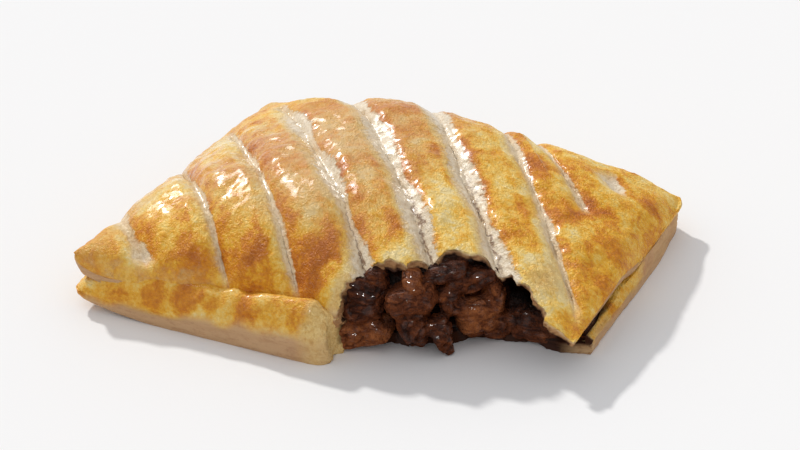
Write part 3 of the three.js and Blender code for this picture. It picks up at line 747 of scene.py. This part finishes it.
def new_group(name, inputs, outputs):
    group = bpy.data.node_groups.new(name, "ShaderNodeTree")
    for label, start in inputs:
        socket = group.interface.new_socket(label, in_out="INPUT", socket_type="NodeSocketFloat")
        socket.default_value = start
    for label, kind in outputs:
        group.interface.new_socket(label, in_out="OUTPUT", socket_type=kind)
    return group, group.nodes.new("NodeGroupInput"), group.nodes.new("NodeGroupOutput")


def use_group(tree, group, inputs):
    return put(tree, "Group", {"node_tree": group}, inputs)


# how the oven browned the egg glaze: from straw through gold to orange brown, in blotches, how pale
# the dough stayed on the floor of the cuts, and the painted shade in the thin cracks along them
browning, taken, given = new_group(
    "oven_browning",
    [("Baked", 0.5), ("Blush", 0.0), ("Pale", 0.0),
     ("Cut Measure", 0.0), ("Cut Open", 0.0), ("Crack Shade", 0.0)],
    [("Color", "NodeSocketColor"), ("Cut Floor", "NodeSocketFloat")])
spot = object_place(browning)
blotch = noise(browning, spot, 3.6 * MM, 4, 0.62, 0.6)
speck = noise(browning, spot, 1.1 * MM, 3, 0.62)
level_of_bake = scaled_sum(blotch, 0.9, taken.outputs["Baked"])
level_of_bake = scaled_sum(speck, 0.7, level_of_bake)
level_of_bake = difference(level_of_bake, 0.83)
glaze_tone = tone_ramp(
    level_of_bake,
    (0.00, 244, 220, 156), (0.20, 244, 204, 104), (0.42, 237, 176, 46),
    (0.62, 218, 140, 14), (0.82, 200, 117, 10), (1.00, 180, 98, 14))
blush_tone = tone_ramp(
    level_of_bake,
    (0.10, 220, 176, 110), (0.45, 213, 147, 68), (0.75, 203, 124, 44),
    (1.00, 182, 102, 32))
blushing = product(taken.outputs["Blush"], 0.85)
glaze_tone = blend(blushing, glaze_tone, blush_tone)
pale_speck = noise(browning, spot, 1.2 * MM, 3, 0.6, 0.8)
pale_tone = tone_ramp(
    pale_speck,
    (0.28, 198, 174, 142), (0.42, 221, 202, 172), (0.64, 235, 221, 198))
cream_tone = tone_ramp(
    pale_speck,
    (0.28, 206, 158, 82), (0.46, 224, 184, 110), (0.64, 236, 204, 136))
blotch_swing = difference(blotch, 0.5)
speck_swing = difference(speck, 0.5)
stray = scaled_sum(blotch_swing, 1.7, taken.outputs["Cut Measure"])
stray = scaled_sum(speck_swing, 1.1, stray)


def soft_range(value, start, end, low=0.0, high=1.0):
    inputs = {0: value, 1: start, 2: end, 3: low, 4: high}
    return put(value.id_data, "MapRange", {"interpolation_type": "SMOOTHSTEP"}, inputs).outputs[0]


in_cut = soft_range(stray, 0.8, 1.3, 1.0, 0.0)
in_cut = product(in_cut, taken.outputs["Cut Open"])
cut_floor = product(soft_range(stray, -1.7, -0.7), in_cut)
cut_flank = product(soft_range(stray, -2.7, -1.0), in_cut)
cut_flank = product(cut_flank, 0.75)
ragged = scaled_sum(blotch_swing, 0.9, taken.outputs["Pale"])
creamy = larger(soft_range(ragged, 0.15, 0.85), cut_flank)
colour = blend(creamy, glaze_tone, cream_tone)
colour = blend(cut_floor, colour, pale_tone)
# the thin dark crack at the bottom of a cut: painted shade inside a crack too fine for the mesh
off_crack = math_node("ABSOLUTE", difference(stray, 0.15))
crack = soft_range(off_crack, 0.0, 0.26, 0.85, 0.0)
crack = product(crack, taken.outputs["Crack Shade"])
colour = blend(crack, colour, tone(112, 74, 46))
browning.links.new(colour, given.inputs["Color"])
browning.links.new(cut_floor, given.inputs["Cut Floor"])

# thin layers of dough and butter, lying flat: height and light to dark for cut and torn sides
layers, _, given = new_group(
    "pastry_layers", [], [("Height", "NodeSocketFloat"), ("Tone", "NodeSocketFloat")])
thick = noise(layers, object_place(layers, (170, 170, 900)), 1.0, 3.0, 0.5, 0.8)
thin = noise(layers, object_place(layers, (600, 600, 2600)), 1.0, 2.0, 0.5, 0.5)
crumb = noise(layers, object_place(layers), 0.9 * MM, 4, 0.65)
layer_height = scaled_sum(thin, 0.35, thick)
layer_height = scaled_sum(crumb, 0.6, layer_height)
layers.links.new(layer_height, given.inputs["Height"])
layer_tone = ramp(layer_height, ((0.60, (0, 0, 0, 1)), (1.35, (1, 1, 1, 1))))
layers.links.new(layer_tone, given.inputs["Tone"])

# blisters, flakes and pin holes of the baked skin, for the bump
flakes, taken, given = new_group(
    "flaky_skin", [("Coarseness", 1.0)], [("Height", "NodeSocketFloat")])
skin_spot = object_place(flakes)
blister = noise(flakes, skin_spot, 2.2 * MM, 3, 0.55, 0.3)
granule = noise(flakes, skin_spot, 0.60 * MM, 2, 0.6, 0.2)
granule = product(granule, 1.5)
skin_height = scaled_sum(blister, taken.outputs["Coarseness"], granule)
flakes.links.new(skin_height, given.inputs["Height"])


def new_material(name):
    material = bpy.data.materials.new(name)
    material.use_nodes = True
    return material, material.node_tree, material.node_tree.nodes["Principled BSDF"]


def pastry_material(name, dullness, coat, edge_relief):
    """Puff pastry: glazed skin, pale cuts, layered edges and torn crumb, told by the painted masks."""
    material, tree, shader = new_material(name)
    pale, baked, blush, edge = (reading(tree, mask) for mask in ("pale", "baked", "blush", "edge"))
    torn, soaked = reading(tree, "torn"), reading(tree, "soaked")
    cut_measure = difference(reading(tree, "cut_measure"), 0.5)
    cut_measure = product(cut_measure, CUT_MEASURE_RANGE)
    skin = use_group(tree, browning, {
        "Baked": baked, "Blush": blush, "Pale": pale, "Cut Measure": cut_measure,
        "Cut Open": reading(tree, "cut_open"), "Crack Shade": reading(tree, "cracked")})
    layered = use_group(tree, layers, {})
    edge_tone = tone_ramp(
        layered.outputs["Tone"], (0.0, 176, 133, 96), (0.5, 186, 146, 107), (1.0, 196, 158, 118))
    torn_tone = tone_ramp(
        layered.outputs["Tone"], (0.0, 160, 118, 78), (0.5, 196, 158, 114), (1.0, 222, 194, 150))
    stain_tone = tone_ramp(
        layered.outputs["Tone"], (0.0, 84, 50, 30), (0.5, 132, 90, 56), (1.0, 170, 126, 84))
    torn_tone = blend(reading(tree, "stained"), torn_tone, stain_tone)
    colour = blend(edge, skin.outputs["Color"], edge_tone)
    colour = blend(torn, colour, torn_tone)
    # dark brown for crust soaked with gravy, for painted shade under the lid, and for a darker band
    # under the seam
    colour = blend(soaked, colour, tone(58, 30, 17))
    tree.links.new(colour, shader.inputs["Base Color"])
    flake = use_group(tree, flakes, {"Coarseness": 0.8})
    rough_part = larger(product(edge, edge_relief), torn)
    heights = {0: rough_part, 2: flake.outputs[0], 3: layered.outputs["Height"]}
    height = put(tree, "Mix", {}, heights).outputs[0]
    calmed = product(height, scaled_sum(rough_part, -0.6, 1.0))
    smoothed = scaled_sum(skin.outputs["Cut Floor"], -0.5, 1.0)
    calmed = product(calmed, smoothed)
    bump = put(tree, "Bump", {}, {"Strength": 0.9, "Distance": 0.55 * MM, "Height": calmed})
    tree.links.new(bump.outputs[0], shader.inputs["Normal"])
    patchy = noise(tree, object_place(tree), 3.2 * MM, 4, 0.62)
    shine = scaled_sum(patchy, 0.4, dullness - 0.2)
    dull = scaled_sum(rough_part, 0.5, shine)
    tree.links.new(dull, shader.inputs["Roughness"])
    glossy_part = ramp(patchy, ((0.38, (0.06, 0.06, 0.06, 1)), (0.54, (1, 1, 1, 1))))
    glossy_part = product(glossy_part, reading(tree, "glossy"))
    floor_gloss = product(skin.outputs["Cut Floor"], reading(tree, "cut_shine"))
    glossy_part = larger(glossy_part, floor_gloss)
    glaze = product(difference(1.0, rough_part), glossy_part)
    tree.links.new(product(glaze, coat), shader.inputs["Coat Weight"])
    shader.inputs["Coat Roughness"].default_value = 0.15
    shader.inputs["Specular IOR Level"].default_value = 0.14
    return material


def dress(piece, material):
    piece.data.materials.clear()
    piece.data.materials.append(material)


dress(lid, pastry_material("glazed_lid_crust", 0.45, 0.9, 1.0))
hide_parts("pastry_lid")
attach(lid, "root")

# ---------------- the pastry base
# The lower sheet of pastry. Outside the crimp its front side puffed into a golden roll, and its
# cut side shows the layers. It is drawn up ring by ring from a flat foot and then hollowed.
BASE_SIDES = 1040
# rings from the plate up and in: inset and height with a plain edge, then with the front roll
BASE_KNOTS = np.array((
    (0.5, 0.0, 0.5, 0.0),
    (0.1, 1.3, 0.1, 1.5),
    (0.6, 2.6, 0.5, 3.0),
    (0.2, 4.0, 0.0, 4.7),
    (0.6, 5.4, 0.5, 6.6),
    (1.4, 7.0, 1.7, 9.0),
    (3.0, 7.4, 3.4, 11.2),
    (5.4, 7.4, 5.2, 12.2),
    (8.0, 7.4, 7.4, 11.7),
    (11.0, 7.4, 10.0, 9.0),
    (14.0, 7.4, 14.0, 7.4),
))
ROWS_PER_KNOT = 3
FOOT_HALF_SIZES = (42, 30)
ROLL_END_BACK, ROLL_END_DOWN = 2.2, 2.8
ROLL_END_REACH = 4.5
BASE_LEVELS = (len(BASE_KNOTS) - 1) * ROWS_PER_KNOT + 1


def smooth_between(knots, place):
    """Runs a smooth curve through the knots; place is the knot number, with its fraction."""
    start = np.clip(np.floor(place).astype(int), 0, len(knots) - 2)
    t = (place - start)[:, None]
    last = len(knots) - 1
    p0, p1 = knots[np.clip(start - 1, 0, last)], knots[start]
    p2, p3 = knots[start + 1], knots[np.clip(start + 2, 0, last)]
    slopes = (2 * p0 - 5 * p1 + 4 * p2 - p3) * t ** 2 + (3 * p1 - p0 - 3 * p2 + p3) * t ** 3
    return 0.5 * (2 * p1 + (p2 - p0) * t + slopes)


def square_walk(turn):
    """A walk round the unit square, as turn goes from 0 to 1."""
    side = np.floor(turn * 4).astype(int) % 4
    step = 2 * (turn * 4 - np.floor(turn * 4)) - 1
    one = np.ones_like(turn)
    u = np.choose(side, (step, one, -step, -one))
    v = np.choose(side, (-one, step, one, -step))
    return u, v


base = prism("base_crust", BASE_SIDES, BASE_LEVELS)
unit = read_points(base)
turn = (np.arctan2(unit[:, 1], unit[:, 0]) / (2 * math.pi)) % 1.0
row = np.round(unit[:, 2])
across, deep = round_corners(*square_walk(turn))
edge_x, edge_y = across * HALF_LENGTH, deep * HALF_WIDTH
knot = np.clip((row - 1) / ROWS_PER_KNOT, 0, len(BASE_KNOTS) - 1)
ring = smooth_between(BASE_KNOTS, knot)
puff = smooth_step(-36, -42, edge_y) * smooth_step(-69, -48, edge_x)
ragged = 0.26 * grain(spread(edge_x / 6, edge_y / 6, row * 0.8), 1.0, 41)
ragged += 0.14 * grain(spread(edge_x / 2, edge_y / 2, row * 1.1), 1.0, 42)
ragged += 0.25 * unevenness(edge_x, edge_y, 14)
ragged *= smooth_step(0.5, 2, row)
flush = smooth_step(2, 12, edge_y) * smooth_step(50, 60, edge_x)
far_corner = smooth_step(26, 42, edge_y) * smooth_step(50, 64, edge_x)
outer_inset = ring[:, 0] * (1 - 0.8 * flush) + 1.1 * far_corner
plain_inset = np.where(ring[:, 1] > 7.2, ring[:, 0], outer_inset)
inset = np.maximum(mix(plain_inset, ring[:, 2], puff) + ragged, 0.0)
x, y = across * (HALF_LENGTH - inset), deep * (HALF_WIDTH - inset)
swell = 1 + 0.05 * unevenness(edge_x, edge_y, 13) * smooth_step(3, 10, ring[:, 3])
swell *= 1 + 0.19 * smooth_step(-32, 5, edge_x)
plain = ring[:, 1] - 2.4 * open_seam(x, y) * smooth_step(2, 7, ring[:, 1])
z = mix(plain, ring[:, 3] * swell, puff)
z += corner_lift(x, y) * (1 - smooth_step(0, 7.4, z))
fine = spread(x, y, z)
z += (0.22 * grain(fine, 3.2, 43) + 0.14 * grain(fine, 1.4, 44)) * smooth_step(5, 8, z)
foot = row == 0
x = np.where(foot, across * FOOT_HALF_SIZES[0], x)
y = np.where(foot, deep * FOOT_HALF_SIZES[1], y)
z = np.where(foot, 0.0, z)
write_points(base, spread(x, y, np.maximum(z, 0.0)) * MM)
face_outwards(base)
carve(base, hollow)
base_plug = bite_plug("base_plug", BASE_BITE, lambda x, y, z: z, 0.0, BASE_RAGGED)
carve(base, base_plug)


def wear_down(piece, strength, times):
    """Rounds the mesh where strength, from 0 to 1 for each point, says so."""
    masked = piece.vertex_groups.new(name="worn")
    for step in np.unique(np.round(strength[strength > 0.05], 1)):
        chosen = np.flatnonzero(np.round(strength, 1) == step)
        masked.add([int(number) for number in chosen], float(step), "REPLACE")
    apply_modifier(piece, "SMOOTH", factor=0.5, iterations=times, vertex_group=masked.name)


finish_mesh(base, 55)
points = read_points(base) / MM
x, y, z = points.T
end_near = np.clip(1 - bite_depth(x, y, BASE_BITE) / ROLL_END_REACH, 0, 1) * (y < -36) * (x < 14)
curl = 1 - np.sqrt(1 - end_near ** 2)
y = y + ROLL_END_BACK * curl * smooth_step(-43, -49, y)
z = z - ROLL_END_DOWN * curl * smooth_step(6, 12, z)
write_points(base, spread(x, y, z) * MM)
left_end = (1 - smooth_step(2.6, 4.6, bite_depth(x, y, BASE_BITE))) * (y < -34) * (x < 16)
left_end = left_end * smooth_step(0.5, 2, z)
wear_down(base, left_end, 60)
points = read_points(base) / MM
x, y, z = points.T
bite_near = bite_depth(x, y, BASE_BITE)
bitten = 1 - smooth_step(1.0, 2.2, bite_near)
side_in = np.minimum(HALF_LENGTH - np.abs(x), HALF_WIDTH - np.abs(y))
rolled = smooth_step(-36, -42, y) * smooth_step(-68, -50, x)
# darkened: the inner crust beside the gravy, the floor at the bite, and a band under the open seam at
# the right end
inner = smooth_step(6.5, 9.5, side_in) * smooth_step(2.2, 2.8, z)
floor_cut = bitten * smooth_step(6, 9, HALF_WIDTH + y) * smooth_step(9, 12, x)
soaked = np.maximum(inner, floor_cut * (1 - smooth_step(57, 64, x) * smooth_step(3, 2, z)))
under_seam = smooth_step(4.4, 5.0, z) * smooth_step(50, 58, x) * (1 - smooth_step(-8, 0, y))
soaked = np.maximum(soaked, under_seam)
torn = bitten * (1 - 0.8 * rolled * smooth_step(9.5, 13, z)) * (1 - 0.85 * (x < 16) * (y < -38))
golden_from = mix(2.5, 3.8 + 3.2 * smooth_step(-50, 4, x), rolled)
edge = 1 - smooth_step(golden_from - 1.4, golden_from + 1.8, z + 1.1 * grain(points, 5, 51))
edge *= 1 - smooth_step(3.0, 4.0, side_in)
far_side = 0.9 * smooth_step(8, 20, y) * smooth_step(40, 62, x) * (1 - smooth_step(3, 4, side_in))
edge = np.maximum(edge, far_side)
BROWNED_ROLL = (
    (-63, 5, 3.5, 0.7), (-52, 7, 4, 0.6), (-41, 9, 4.5, 0.8), (-31, 9.5, 5.5, 1.0),
    (-22, 10, 3.5, 0.6), (-14, 10.5, 5, 0.8), (-6, 11, 4, 0.7), (1, 10, 3.5, 0.6),
)
baked = 0.38 + 0.20 * grain(points, 8, 52) + 0.18 * grain(points, 3.5, 53)
for spot_x, spot_z, size, strength in BROWNED_ROLL:
    away = np.hypot(x - spot_x, 1.1 * (z - spot_z)) / size + 0.3 * grain(points, 3, 54)
    baked += 0.36 * strength * rolled * (1 - smooth_step(0.35, 1.1, away))
right_end = smooth_step(52, 62, x)
streaks = 0.30 * np.cos(y / 3.4 + 1.2) + 0.35 * grain(spread(y / 1.7, z / 5, 0.0), 1.0, 55)
baked = np.maximum(baked + 0.8 * right_end * streaks, 0.34 * right_end)
near_end = 1 - smooth_step(2.0, 8.5, bite_near)
edge *= 1 - 0.6 * near_end * (x < 16)
pale = 0.9 * near_end * (x < 16) + 0.5 * rolled * smooth_step(-4, 6, x) * smooth_step(12, 7, z)
paint(base, pale=pale, baked=baked, blush=0.15, edge=edge, torn=torn, soaked=soaked,
      stained=0.6 * bitten * smooth_step(20, 30, x), glossy=0.5)
dress(base, pastry_material("baked_base_crust", 0.5, 0.35, 0.55))
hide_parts("pastry_base")
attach(base, "root")

# ---------------- the gravy
# Thick brown gravy fills the parcel round the meat and clings to the crust. Behind the right
# half of the bite it has slumped away from the lid. Its open face is lumpy and wet.
GRAVY_COLUMNS, GRAVY_ROWS, GRAVY_EDGE_ROWS = 190, 140, 6
GRAVY_GAP = 0.3
GRAVY_RECESS = 1.7
SLUMP_DEPTH = 10.0
gravy = rolled_sheet("gravy", GRAVY_COLUMNS, GRAVY_ROWS, GRAVY_EDGE_ROWS)
u, v, row = sheet_coordinates(gravy)
x, y = hollow_plan(u, v, GRAVY_GAP)
slump = SLUMP_DEPTH * smooth_step(35, 44, x) * (1 - smooth_step(-13, -3, y))
slump = slump * (1 - 0.75 * smooth_step(50, 63, x))
lumps = spread(x, y, np.zeros_like(x))
ceiling = hollow_top(x, y, u, v, slump) - GRAVY_GAP
ceiling += np.where(slump > 0.2, 0.9 * grain(lumps, 6, 61) + 0.4 * grain(lumps, 2.4, 62), 0.0)
x, y = (np.where(row == GRAVY_EDGE_ROWS, side * FOOT_SHARE, side) for side in (x, y))
bottom = FLOOR_THICKNESS + GRAVY_GAP + corner_lift(x, y)
z = mix(bottom, ceiling, np.clip(1 - row / (GRAVY_EDGE_ROWS - 1), 0, 1))
write_points(gravy, spread(x, y, z) * MM)
# dark gaps between the pieces of meat: middle, half width, half height and depth
POCKETS = (
    ((17.6, -33.2, 11.4), 2.1, 4.6, 5.0),
    ((19.5, -32.9, 19.3), 2.6, 2.8, 5.0),
    ((30.3, -28.3, 15.7), 4.6, 1.6, 5.0),
    ((37.2, -23.7, 12.5), 3.4, 2.0, 4.5),
    ((30.9, -27.7, 6.2), 2.2, 2.2, 4.0),
    ((47.5, -17.1, 12.0), 7.0, 3.2, 6.0),
)


def pocket_depth(x, y, z):
    depth = np.zeros_like(x)
    for (middle_x, middle_y, middle_z), half_width, half_height, deep in POCKETS:
        beside = np.hypot(x - middle_x, y - middle_y) / half_width
        above = (z - middle_z) / half_height
        depth = np.maximum(depth, deep * np.exp(-beside ** 2 - above ** 2))
    return depth


gravy_plug = bite_plug("gravy_plug", BASE_BITE, lambda x, y, z: 2.5 * z, GRAVY_RECESS, GRAVY_RAGGED)
x, y, z = (read_points(gravy_plug) / MM).T
away_x, away_y = x - BITE_X, y - BITE_Y
stretch = 1 + pocket_depth(x, y, z) / np.maximum(np.hypot(away_x, away_y), 1.0)
x, y = BITE_X + away_x * stretch, BITE_Y + away_y * stretch
write_points(gravy_plug, spread(x, y, z) * MM)
carve(gravy, gravy_plug)
finish_mesh(gravy, 60)


def wet_material(name, stops, fibre, wetness):
    """Meat or gravy under a wet skin: dark blotches, fibres, and small wet glints."""
    material, tree, shader = new_material(name)
    spot = object_place(tree)
    cloud = noise(tree, spot, 2.6 * MM, 4, 0.62, 0.8)
    strand = noise(tree, object_place(tree, fibre), 1.0, 4.0, 0.5, 0.8)
    shade = scaled_sum(strand, 0.6, product(cloud, 0.5))
    # the painted mask holds each piece's own lightness together with painted shade in folds and behind
    # the bite
    shade = scaled_sum(reading(tree, "meat_light"), 0.36, shade)
    shade = difference(shade, 0.2)
    tree.links.new(tone_ramp(shade, *stops), shader.inputs["Base Color"])
    grit = noise(tree, spot, 0.50 * MM, 2, 0.6)
    height = scaled_sum(grit, 1.9, strand)
    bump = put(tree, "Bump", {}, {"Strength": 0.9, "Distance": 0.45 * MM, "Height": height})
    tree.links.new(bump.outputs[0], shader.inputs["Normal"])
    shader.inputs["Roughness"].default_value = 0.5
    shader.inputs["Specular IOR Level"].default_value = 0.07
    film = noise(tree, spot, 2.4 * MM, 3, 0.6)
    wet = ramp(film, ((0.51, (0.0, 0.0, 0.0, 1)), (0.60, (1, 1, 1, 1))))
    tree.links.new(product(wet, wetness), shader.inputs["Coat Weight"])
    shader.inputs["Coat Roughness"].default_value = 0.08
    return material


paint(gravy, meat_light=0.2)
dress(gravy, wet_material("brown_gravy", (
    (0.30, 22, 8, 3), (0.52, 54, 24, 9), (0.75, 92, 46, 18)), (300, 300, 300), 0.3))
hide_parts("steak_filling")
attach(gravy, "root")

# ---------------- the steak
# Pieces of stewed beef, each a block with soft corners that has split along its fibres. They
# stand out of the gravy at the bite, and the longest one hangs below it.

# middle, half sizes, turn about the upright, tilt to the right, how pointed it is below, and how
# light its meat is
CHUNKS = (
    ((15.6, -33.8, 18.6), (2.6, 3.2, 2.4), 20, 5, 0.0, 0.35),
    ((13.6, -35.2, 15.2), (4.8, 4.6, 3.8), 10, -8, 0.0, 0.15),
    ((13.0, -36.2, 10.4), (5.2, 4.8, 3.6), 35, 6, 0.0, 0.30),
    ((12.4, -37.2, 4.6), (7.2, 5.0, 4.2), 20, 8, 0.0, 0.95),
    ((24.8, -33.0, 18.2), (2.6, 3.4, 3.2), 28, 0, 0.0, 0.85),
    ((24.2, -33.2, 13.8), (5.8, 5.4, 4.6), 28, 8, 0.0, 0.50),
    ((25.2, -33.8, 6.8), (3.9, 5.0, 6.2), 22, 6, 0.7, 0.45),
    ((30.6, -25.6, 19.4), (6.2, 4.6, 2.9), 15, 14, 0.0, 0.20),
    ((36.4, -23.6, 17.0), (7.2, 4.4, 2.3), 28, 17, 0.0, 0.35),
    ((31.8, -26.8, 12.4), (3.1, 4.6, 4.8), 20, 8, 0.0, 0.45),
    ((40.6, -21.8, 12.2), (2.6, 4.2, 5.0), 34, -10, 0.0, 0.70),
    ((37.2, -24.4, 8.4), (5.0, 4.8, 4.8), 28, 6, 0.0, 0.95),
    ((42.2, -19.8, 5.0), (3.6, 4.2, 3.8), 40, -10, 0.0, 0.50),
    ((32.2, -32.8, 4.8), (3.0, 3.4, 5.2), 30, 20, 1.0, 0.50),
    ((36.4, -22.6, 3.7), (3.6, 3.8, 2.2), 28, 0, 0.2, 0.45),
    ((40.6, -21.0, 2.6), (3.4, 3.6, 2.3), 28, 0, 0.3, 0.50),
    ((49.4, -16.4, 5.0), (6.2, 4.6, 2.8), 18, -14, 0.0, 0.20),
    ((52.6, -17.8, 2.8), (7.4, 4.0, 2.0), 16, -8, 0.0, 0.45),
    ((59.4, -16.5, 3.6), (5.2, 3.6, 1.8), 12, -8, 0.0, 0.40),
    ((46.4, -18.6, 3.2), (3.2, 3.6, 2.6), 28, 0, 0.2, 0.35),
)
CHUNK_SOFTNESS = 3.0
CHUNK_SHIFT = 11.7
STEAK_VOXEL = 0.34 * MM
STEAK_LOWEST = 0.3
steak_finish = wet_material("stewed_steak", (
    (0.24, 22, 8, 3), (0.42, 62, 26, 10), (0.60, 106, 54, 26),
    (0.80, 154, 90, 48)), (260, 900, 900), 0.4)

lumps = []
frames = []
for number, (middle, half, turn_degrees, tilt_degrees, pointed, lightness) in enumerate(CHUNKS):
    clear_selection()
    bpy.ops.mesh.primitive_ico_sphere_add(subdivisions=5, radius=1)
    lump = bpy.context.object
    way = read_points(lump)
    way /= np.linalg.norm(way, axis=1)[:, None]
    total = (np.abs(way) ** CHUNK_SOFTNESS).sum(axis=1)
    shift = CHUNK_SHIFT * number
    dents = 1 + 0.20 * grain(way + shift, 0.9, 76) + 0.07 * grain(way + shift, 0.42, 77)
    shaped = way * (total ** (-1 / CHUNK_SOFTNESS) * dents)[:, None] * np.array(half)
    narrow = 1 - pointed * 0.75 * smooth_step(0.2, -1.0, way[:, 2])
    shaped[:, :2] *= narrow[:, None]
    turned = Matrix.Rotation(math.radians(turn_degrees), 3, "Z")
    turned = turned @ Matrix.Rotation(math.radians(-tilt_degrees), 3, "Y")
    turned = turned @ Matrix.Rotation(math.radians(14 * math.sin(2.3 * number)), 3, "X")
    shaped = shaped @ np.array(turned).T + np.array(middle)
    write_points(lump, shaped * MM)
    lumps.append(lump)
    frames.append((np.array(turned), np.array(middle), np.array(half), lightness))

# the gravy binds the pieces: they run together, then their fibres are drawn back in
clear_selection()
for lump in lumps:
    lump.select_set(True)
bpy.context.view_layer.objects.active = lumps[0]
bpy.ops.object.join()
steak = bpy.context.object
steak.name = "stewed_steak"
apply_modifier(steak, "REMESH", mode="VOXEL", voxel_size=STEAK_VOXEL)
apply_modifier(steak, "SMOOTH", factor=0.5, iterations=5)
points = read_points(steak) / MM
normals = np.empty(len(points) * 3)
steak.data.vertices.foreach_get("normal", normals)
normals = normals.reshape(-1, 3)
nearest = np.full(len(points), 1e9)
strands = np.zeros((len(points), 3))
lights, shares = np.zeros(len(points)), np.zeros(len(points))
for number, (turned, middle, half, lightness) in enumerate(frames):
    own = (points - middle) @ turned
    inside = np.linalg.norm(own / half, axis=1)
    mine = inside < nearest
    nearest = np.where(mine, inside, nearest)
    strands[mine] = own[mine] + CHUNK_SHIFT * number
    share = np.exp(-5 * inside)
    lights += share * lightness
    shares += share
warp = np.stack([grain(points, 4.2, seed) for seed in (78, 79, 80)], axis=1)
bent = points + 1.5 * warp
relief = 0.45 * grain(bent, 4.4, 71) + 0.16 * grain(bent, 1.8, 72)
fold = 1 - np.abs(grain((strands + 1.5 * warp) / np.array((9.0, 3.2, 3.2)), 1.0, 75)) * 4
relief -= 0.7 * np.clip(fold, 0, 1) ** 1.5
fibre = 1 - np.abs(grain(strands / np.array((7.0, 1.3, 1.3)), 1.0, 73)) * 2.4
relief += 0.24 * np.clip(fibre, 0, 1)
points = points + normals * relief[:, None]
points[:, 2] = np.maximum(points[:, 2], STEAK_LOWEST)
write_points(steak, points * MM)
# painted shade: folds and dents darker, raised fibres lighter, and pieces deep behind the bite darker
# still
behind = smooth_step(1.0, 7.0, bite_depth(points[:, 0], points[:, 1], BASE_BITE))
paint(steak, meat_light=lights / np.maximum(shares, 1e-12) + 0.35 * relief - 0.5 * behind)
make_active(steak)
bpy.ops.object.shade_smooth()
dress(steak, steak_finish)
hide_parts("steak_filling")
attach(steak, "root")
